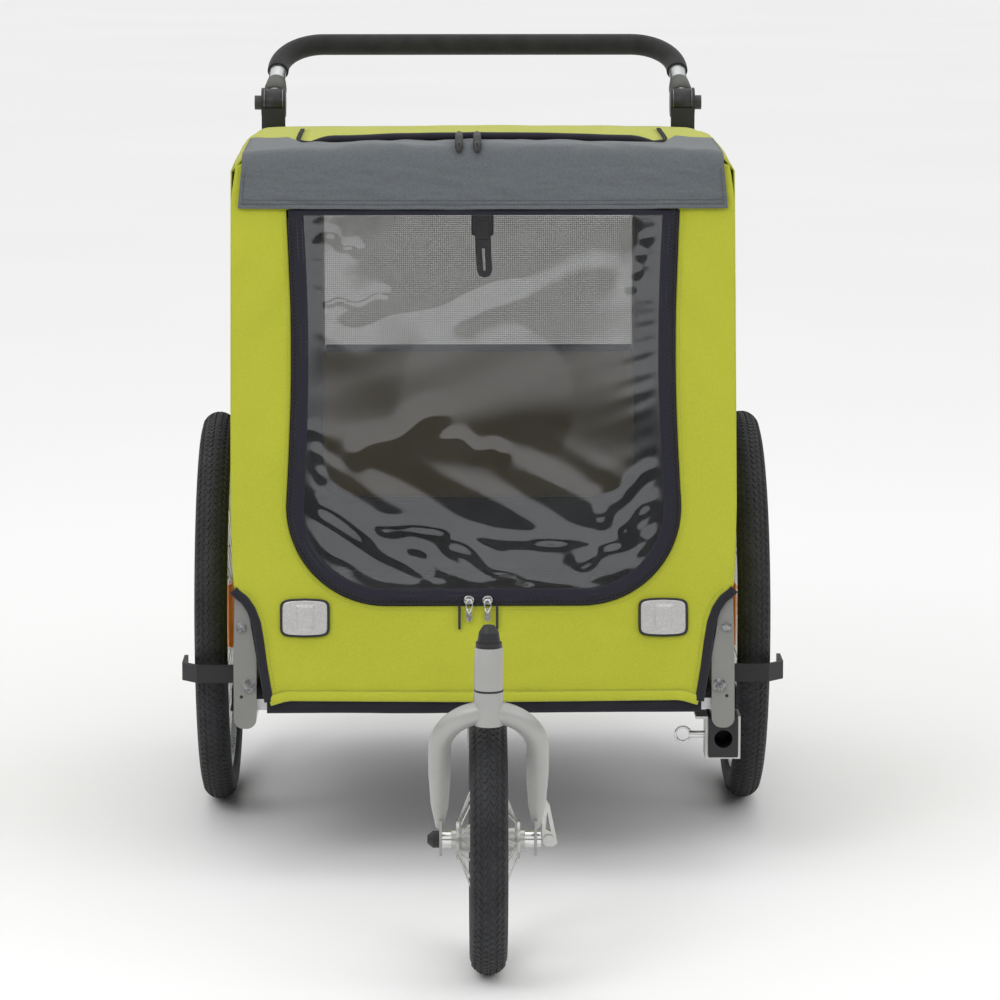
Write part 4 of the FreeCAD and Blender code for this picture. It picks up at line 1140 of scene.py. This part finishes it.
ZIP_V = WIN_LOW + 0.0052
PULL_MID = -0.007
tabs = []
for tag, u, reach in (("left", 0.011, 0.0225), ("right", -0.011, -0.0225)):
    slider(f"door_slider_{tag}", front(PULL_MID + u, ZIP_V, 0.0030), FRONT_OUT,
           Vector((-1 if u > 0 else 1, 0, 0)), BRIGHT, "door")
    eye = [front(PULL_MID + u + 0.0042 * math.cos(a) * (1.0 if a < 3.14 else 0.8),
                 ZIP_V - 0.007 + 0.0075 * math.sin(a), 0.0058) for a in circle(20)]
    tabs.append(tube("eye", eye, 0.0009, BRIGHT, 8, closed=True))
    drop_place = lambda x, y, d, u=PULL_MID + u: front(u + x, ZIP_V - 0.0105 + y, 0.0055 + d)
    tab_place = lambda x, y, d, u=PULL_MID + reach: front(u + x, ZIP_V - 0.006 + y, 0.0046 + d)
    tabs.append(plate("drop", pill(0.0062, 0.015, -0.015), [pill(0.0026, 0.006, -0.0062)], 0.0014, BRIGHT,
                      drop_place, 0.0004))
    tabs.append(plate("tab", pill(0.0026, 0.029, -0.029), [], 0.0012, PLASTIC, tab_place, 0.0003))
pulls = merged("door_pull_tabs", tabs)
fit(pulls, "door_pulls", "front_zip_pulls")

tabs = []
for tag, x in (("left", -0.0068), ("right", -0.0286)):
    top = roof_point(x, -0.004, 0.0035)
    slider(f"hatch_slider_{tag}", top, Vector((0, 0.05, 1)).normalized(), Vector((1, 0, 0)), PLASTIC,
           "hatch")
    line = [(-0.008, 0.8790), (-0.030, 0.8790), (-0.052, 0.8760), (-0.0670, 0.8680), (-0.0735, 0.8585)]
    path = resample([(x, y, z) for y, z in line], 20)
    wide = [0.0022] * 6 + [0.0034, 0.0046] + [0.0050] * 10 + [0.0048, 0.0036, 0.0020]
    tabs.append(tube("cord_tab", path, wide, PLASTIC, 12, 0.45, [Vector((0, -0.6, 0.8))] * 21))
    end = path[17] + Vector((0, -0.0022, 0.0012))
    loop = [end + Vector((0.0022 * math.cos(t), 0, 0.0030 * math.sin(t))) for t in circle(16)]
    tabs.append(tube("tab_eye", loop, 0.0007, COLLAR, 6, closed=True))
hatch_tabs = merged("hatch_pull_tabs", tabs)
fit(hatch_tabs, "hatch_pulls", "hatch_zip_pulls")

# ------------------------------------------------------------------ reflectors on the front cloth
REF_U, REF_V = 0.214, 0.104  # middle, on the front face
REF_A, REF_B = 0.0282, 0.0212  # half width and half height


def barrel(a):
    """Outline of a reflector: square-cornered with bowed top and bottom."""
    across, up = math.cos(a), math.sin(a)
    x = REF_A * math.copysign(abs(across) ** 0.24, across)
    return x, REF_B * math.copysign(abs(up) ** 0.24, up) * (1.03 - 0.10 * (x / REF_A) ** 2)


lenses, rims = [], []
for sign in (1, -1):
    def lens_point(s, t, sign=sign):
        x, y = barrel(2 * math.pi * s)
        k = min(1.0, t / 0.92)
        u, v = x * k * 0.95, y * k * 0.95
        panes = 0.0016 * clamped((0.0105 - abs(u)) / 0.002) - 0.10 * max(0.0, abs(u) - 0.0105)
        drop = 0.0 if t <= 0.92 else 0.0035
        return front(sign * REF_U + u, REF_V + v, 0.0050 + panes - drop)
    lenses.append(grid("lens", lens_point, 96, 24, CLEAR_LENS, closed=True))
    rim_line = [front(sign * REF_U + x, REF_V + y, 0.0024) for x, y in map(barrel, circle(96))]
    rims.append(tube("rim", rim_line, 0.0016, PLASTIC, 8, 1.0, [FRONT_OUT] * 96, closed=True))
lens_piece = merged("reflector_lenses", lenses)
fit(lens_piece, "frame", "front_reflectors")
rim_piece = merged("reflector_rims", rims)
fit(rim_piece, "frame")

# ------------------------------------------------------------------ wheels
SECTION = 0.0215  # radius of a tyre section


def tyre(tag, centre, radius, seat, body, blocks):
    """Tyre with a ribbed side wall and five rows of staggered tread blocks."""
    centre = Vector(centre)
    ring_r, skin = radius - SECTION, SECTION - 0.0012
    open_angle = math.degrees(math.acos((ring_r - seat) / SECTION))
    profile = []
    for k in range(57):
        a = math.radians(180 - open_angle) * (1 - 2 * k / 56)
        side = abs(math.degrees(a))
        rib = 0.0004 * math.sin(side * 1.1) if 62 < side < 118 else 0.0
        profile.append((skin + rib, a))
    for k in range(17):
        a = math.radians(176 - open_angle) * (2 * k / 16 - 1)
        profile.append((SECTION - 0.0035, a))

    def point(s, t):
        r, a = profile[int(round(t * len(profile))) % len(profile)]
        turn = 2 * math.pi * s
        reach = ring_r + r * math.cos(a)
        return centre + Vector((r * math.sin(a), reach * math.cos(turn), reach * math.sin(turn)))

    carcass = grid("carcass", point, 160, len(profile), TYRE, closed=True)
    places = []
    for row, lean in ((-52, 0.7), (-31, -0.5), (-11, 0.45), (11, -0.45), (31, 0.5), (52, -0.7)):
        a = math.radians(row)
        for k in range(blocks):
            turn = 2 * math.pi * (k + (0.5 if row in (-31, 11, 52) else 0)) / blocks
            out = Vector((math.sin(a), math.cos(a) * math.cos(turn), math.cos(a) * math.sin(turn)))
            reach = ring_r + skin * math.cos(a)
            at = centre + Vector((skin * math.sin(a), reach * math.cos(turn), reach * math.sin(turn)))
            round_way = Vector((0, -math.sin(turn), math.cos(turn)))
            across = round_way.cross(out)
            places.append((at, round_way + across * lean, out))
    length = 2 * math.pi * radius / blocks
    tread = bricks("tread", places, (length * 0.78, 0.0046, 0.0023), TYRE, 0.22)
    fit(merged(f"{tag}_tread_tyre", [carcass, tread]), body, f"{tag}_tyre")


TRACK, AXLE_Y, AXLE_Z = 0.337, 0.237, 0.250
for tag, x, y, r, seat, body, blocks in (
        ("rear_left", TRACK, AXLE_Y, 0.250, 0.2115, "left_wheel", 150),
        ("rear_right", -TRACK, AXLE_Y, 0.250, 0.2115, "right_wheel", 150),
        ("front", 0, -0.623, 0.1485, 0.110, "caster_wheel", 92)):
    centre = Vector((x, y, r))
    tyre(tag, centre, r, seat, body, blocks)
    bed = seat - 0.016
    stem = Vector((0, -math.sin(0.9), math.cos(0.9)))
    valve = tube(f"{tag}_valve", [centre + stem * d for d in (bed + 0.004, bed - 0.004, bed - 0.012,
                                                              bed - 0.0125, bed - 0.028, bed - 0.030)],
                 [0.0042, 0.0042, 0.0030, 0.0042, 0.0042, 0.0028], PLASTIC, 12)
    fit(valve, body)
    nipples = []
    count = 28 if tag != "front" else 20
    for k in range(count):
        a = 2 * math.pi * k / count
        reach = bed + 0.001
        root = centre + Vector((0.002 * (1 if k % 2 else -1), reach * math.cos(a), reach * math.sin(a)))
        inward = Vector((0.05 * (1 if k % 2 else -1), -math.cos(a), -math.sin(a)))
        nipples.append(tube("nipple", [root, root + inward * 0.007, root + inward * 0.0125],
                            [0.0030, 0.0021, 0.0017], STEEL, 6))
    nipples = merged(f"{tag}_nipples", nipples)
    fit(nipples, body)
for tag, sign, body in (("left", 1, "left_wheel"), ("right", -1, "right_wheel")):
    spoke_lens = rounded_box(f"spoke_reflector_{tag}",
                             (sign * (TRACK - 0.0235), AXLE_Y - 0.150, AXLE_Z + 0.016),
                             (0.013, 0.030, 0.080), 0.003, AMBER)
    fit(spoke_lens, body)

# ------------------------------------------------------------------ finishes of the carried-over parts
for finish, bevel, nodes in (
        (RIM, 0.0008, "rear_left_rim rear_right_rim front_rim"),
        (STEEL, 0.0, "rear_left_hub rear_right_hub front_hub"),
        (ALLOY, 0.0008, "floor_rail_left floor_rail_right front_crossbar rear_crossbar"),
        (ALLOY, 0.0008, "side_hoop_left side_hoop_right roof_bar_front roof_bar_rear"),
        (ALLOY, 0.0, "push_bar"),
        (PAINT, 0.0008, "caster_fork front_boom boom_sleeve"),
        (BRACKET, 0.0008, "front_bracket_left front_bracket_right rear_brackets"),
        (BRIGHT, 0.0006, "frame_bolts rear_axle_pins front_axle tow_lock_pin"),
        (STEEL, 0.0008, "quick_release_lever"),
        (STEEL, 0.0006, "socket_clevis"),
        (PLASTIC, 0.0009, "caster_seal head_cap axle_nut handle_knuckle_left handle_knuckle_right"),
        (PLASTIC, 0.0009, "bumper_left bumper_right tow_socket boom_lock_pin"),
        (SOFT_PLASTIC, 0.0009, "handle_button_left handle_button_right"),
        (FOAM, 0.0, "push_bar_grip"),
        (LINING, 0.0015, "floor_board")):
    for node in nodes.split():
        paint(node, finish, bevel)

# ------------------------------------------------------------------ push bar collars
KNUCKLE = Vector((0.279, 0.640, 0.872))
SLOPE = math.radians(32)
BAR_WAY = Vector((-0.051, math.cos(SLOPE), math.sin(SLOPE))).normalized()
collars = []
for sign in (1, -1):
    flip = Vector((sign, 1, 1))
    hub = KNUCKLE * flip
    way = BAR_WAY * flip
    reaches = (0.0192, 0.0215, 0.030, 0.040, 0.047, 0.0485, 0.0490)
    collars.append(tube("collar", [hub + way * r for r in reaches],
                        [0.0120, 0.0150, 0.0154, 0.0140, 0.0128, 0.0126, 0.0118], COLLAR, 28))
    widths = (-0.0124, -0.0120, 0.0120, 0.0124)
    collars.append(tube("hub_cover", [hub + Vector((w, 0, 0)) for w in widths],
                        [0.0182, 0.0189, 0.0189, 0.0182], PLASTIC, 48))
collar = merged("push_bar_collars", collars)
fit(collar, "push_bar")


# ------------------------------------------------------------------ stage, light and camera
def pale_floor():
    n = Nodes("pale_floor")
    n.tint(n.noise(0.6, 2), [(0.3, (0.93, 0.93, 0.93)), (0.7, (0.95, 0.95, 0.95))])
    n.set(Roughness=0.9, Specular_IOR_Level=0.1)
    return n.mat


FLOOR = 400  # side of the floor, m
grid("floor", lambda s, t: Vector(((s - 0.5) * FLOOR, (t - 0.5) * FLOOR, 0)), 2, 2, pale_floor())
# Grey low down and white above, which the clear pane reflects.
world = bpy.data.worlds.new("studio")
bpy.context.scene.world = world
world.use_nodes = True
sky = world.node_tree.nodes
way = sky.new("ShaderNodeTexCoord")
split = sky.new("ShaderNodeSeparateXYZ")
step = sky.new("ShaderNodeValToRGB")
step.color_ramp.elements[0].position = 0.262
step.color_ramp.elements[0].color = (0.09, 0.09, 0.095, 1)
step.color_ramp.elements[1].position = 0.292
step.color_ramp.elements[1].color = (1, 1, 1, 1)
wires = world.node_tree.links
wires.new(way.outputs["Generated"], split.inputs[0])
wires.new(split.outputs["Z"], step.inputs[0])
wires.new(step.outputs[0], sky["Background"].inputs["Color"])
sky["Background"].inputs["Strength"].default_value = 1.0


def softbox(name, place, aim, side, power):
    data = bpy.data.lights.new(name, "AREA")
    data.shape = "RECTANGLE"
    data.size = data.size_y = side
    data.energy = power
    lamp = placed(name, data)
    lamp.location = place
    lamp.rotation_mode = "QUATERNION"
    lamp.rotation_quaternion = (Vector(aim) - Vector(place)).to_track_quat("-Z", "Y")


softbox("key", (-2.2, -3.0, 3.4), (0, 0, 0.5), 1.6, 32)
softbox("fill", (3.0, -2.6, 2.4), (0, 0, 0.5), 1.8, 14)
softbox("top", (0, 0.6, 4.0), (0, 0, 0.6), 3.0, 14)

YAW, PITCH = 0.0133, 0.160  # radians, to the right and down
SENSOR = 36  # mm
LENS_RATIO = 4.2  # focal length over sensor width
camera_data = bpy.data.cameras.new("camera")
camera_data.lens = LENS_RATIO * SENSOR
camera_data.sensor_width = SENSOR
camera_data.clip_end = 500
camera = placed("camera", camera_data)
camera.location = (-0.0466, -5.113, 1.250)
camera.rotation_mode = "QUATERNION"
ahead = Vector((math.sin(YAW) * math.cos(PITCH), math.cos(YAW) * math.cos(PITCH), -math.sin(PITCH)))
camera.rotation_quaternion = ahead.to_track_quat("-Z", "Y")
bpy.context.scene.camera = camera
bpy.context.scene.view_settings.view_transform = "Standard"
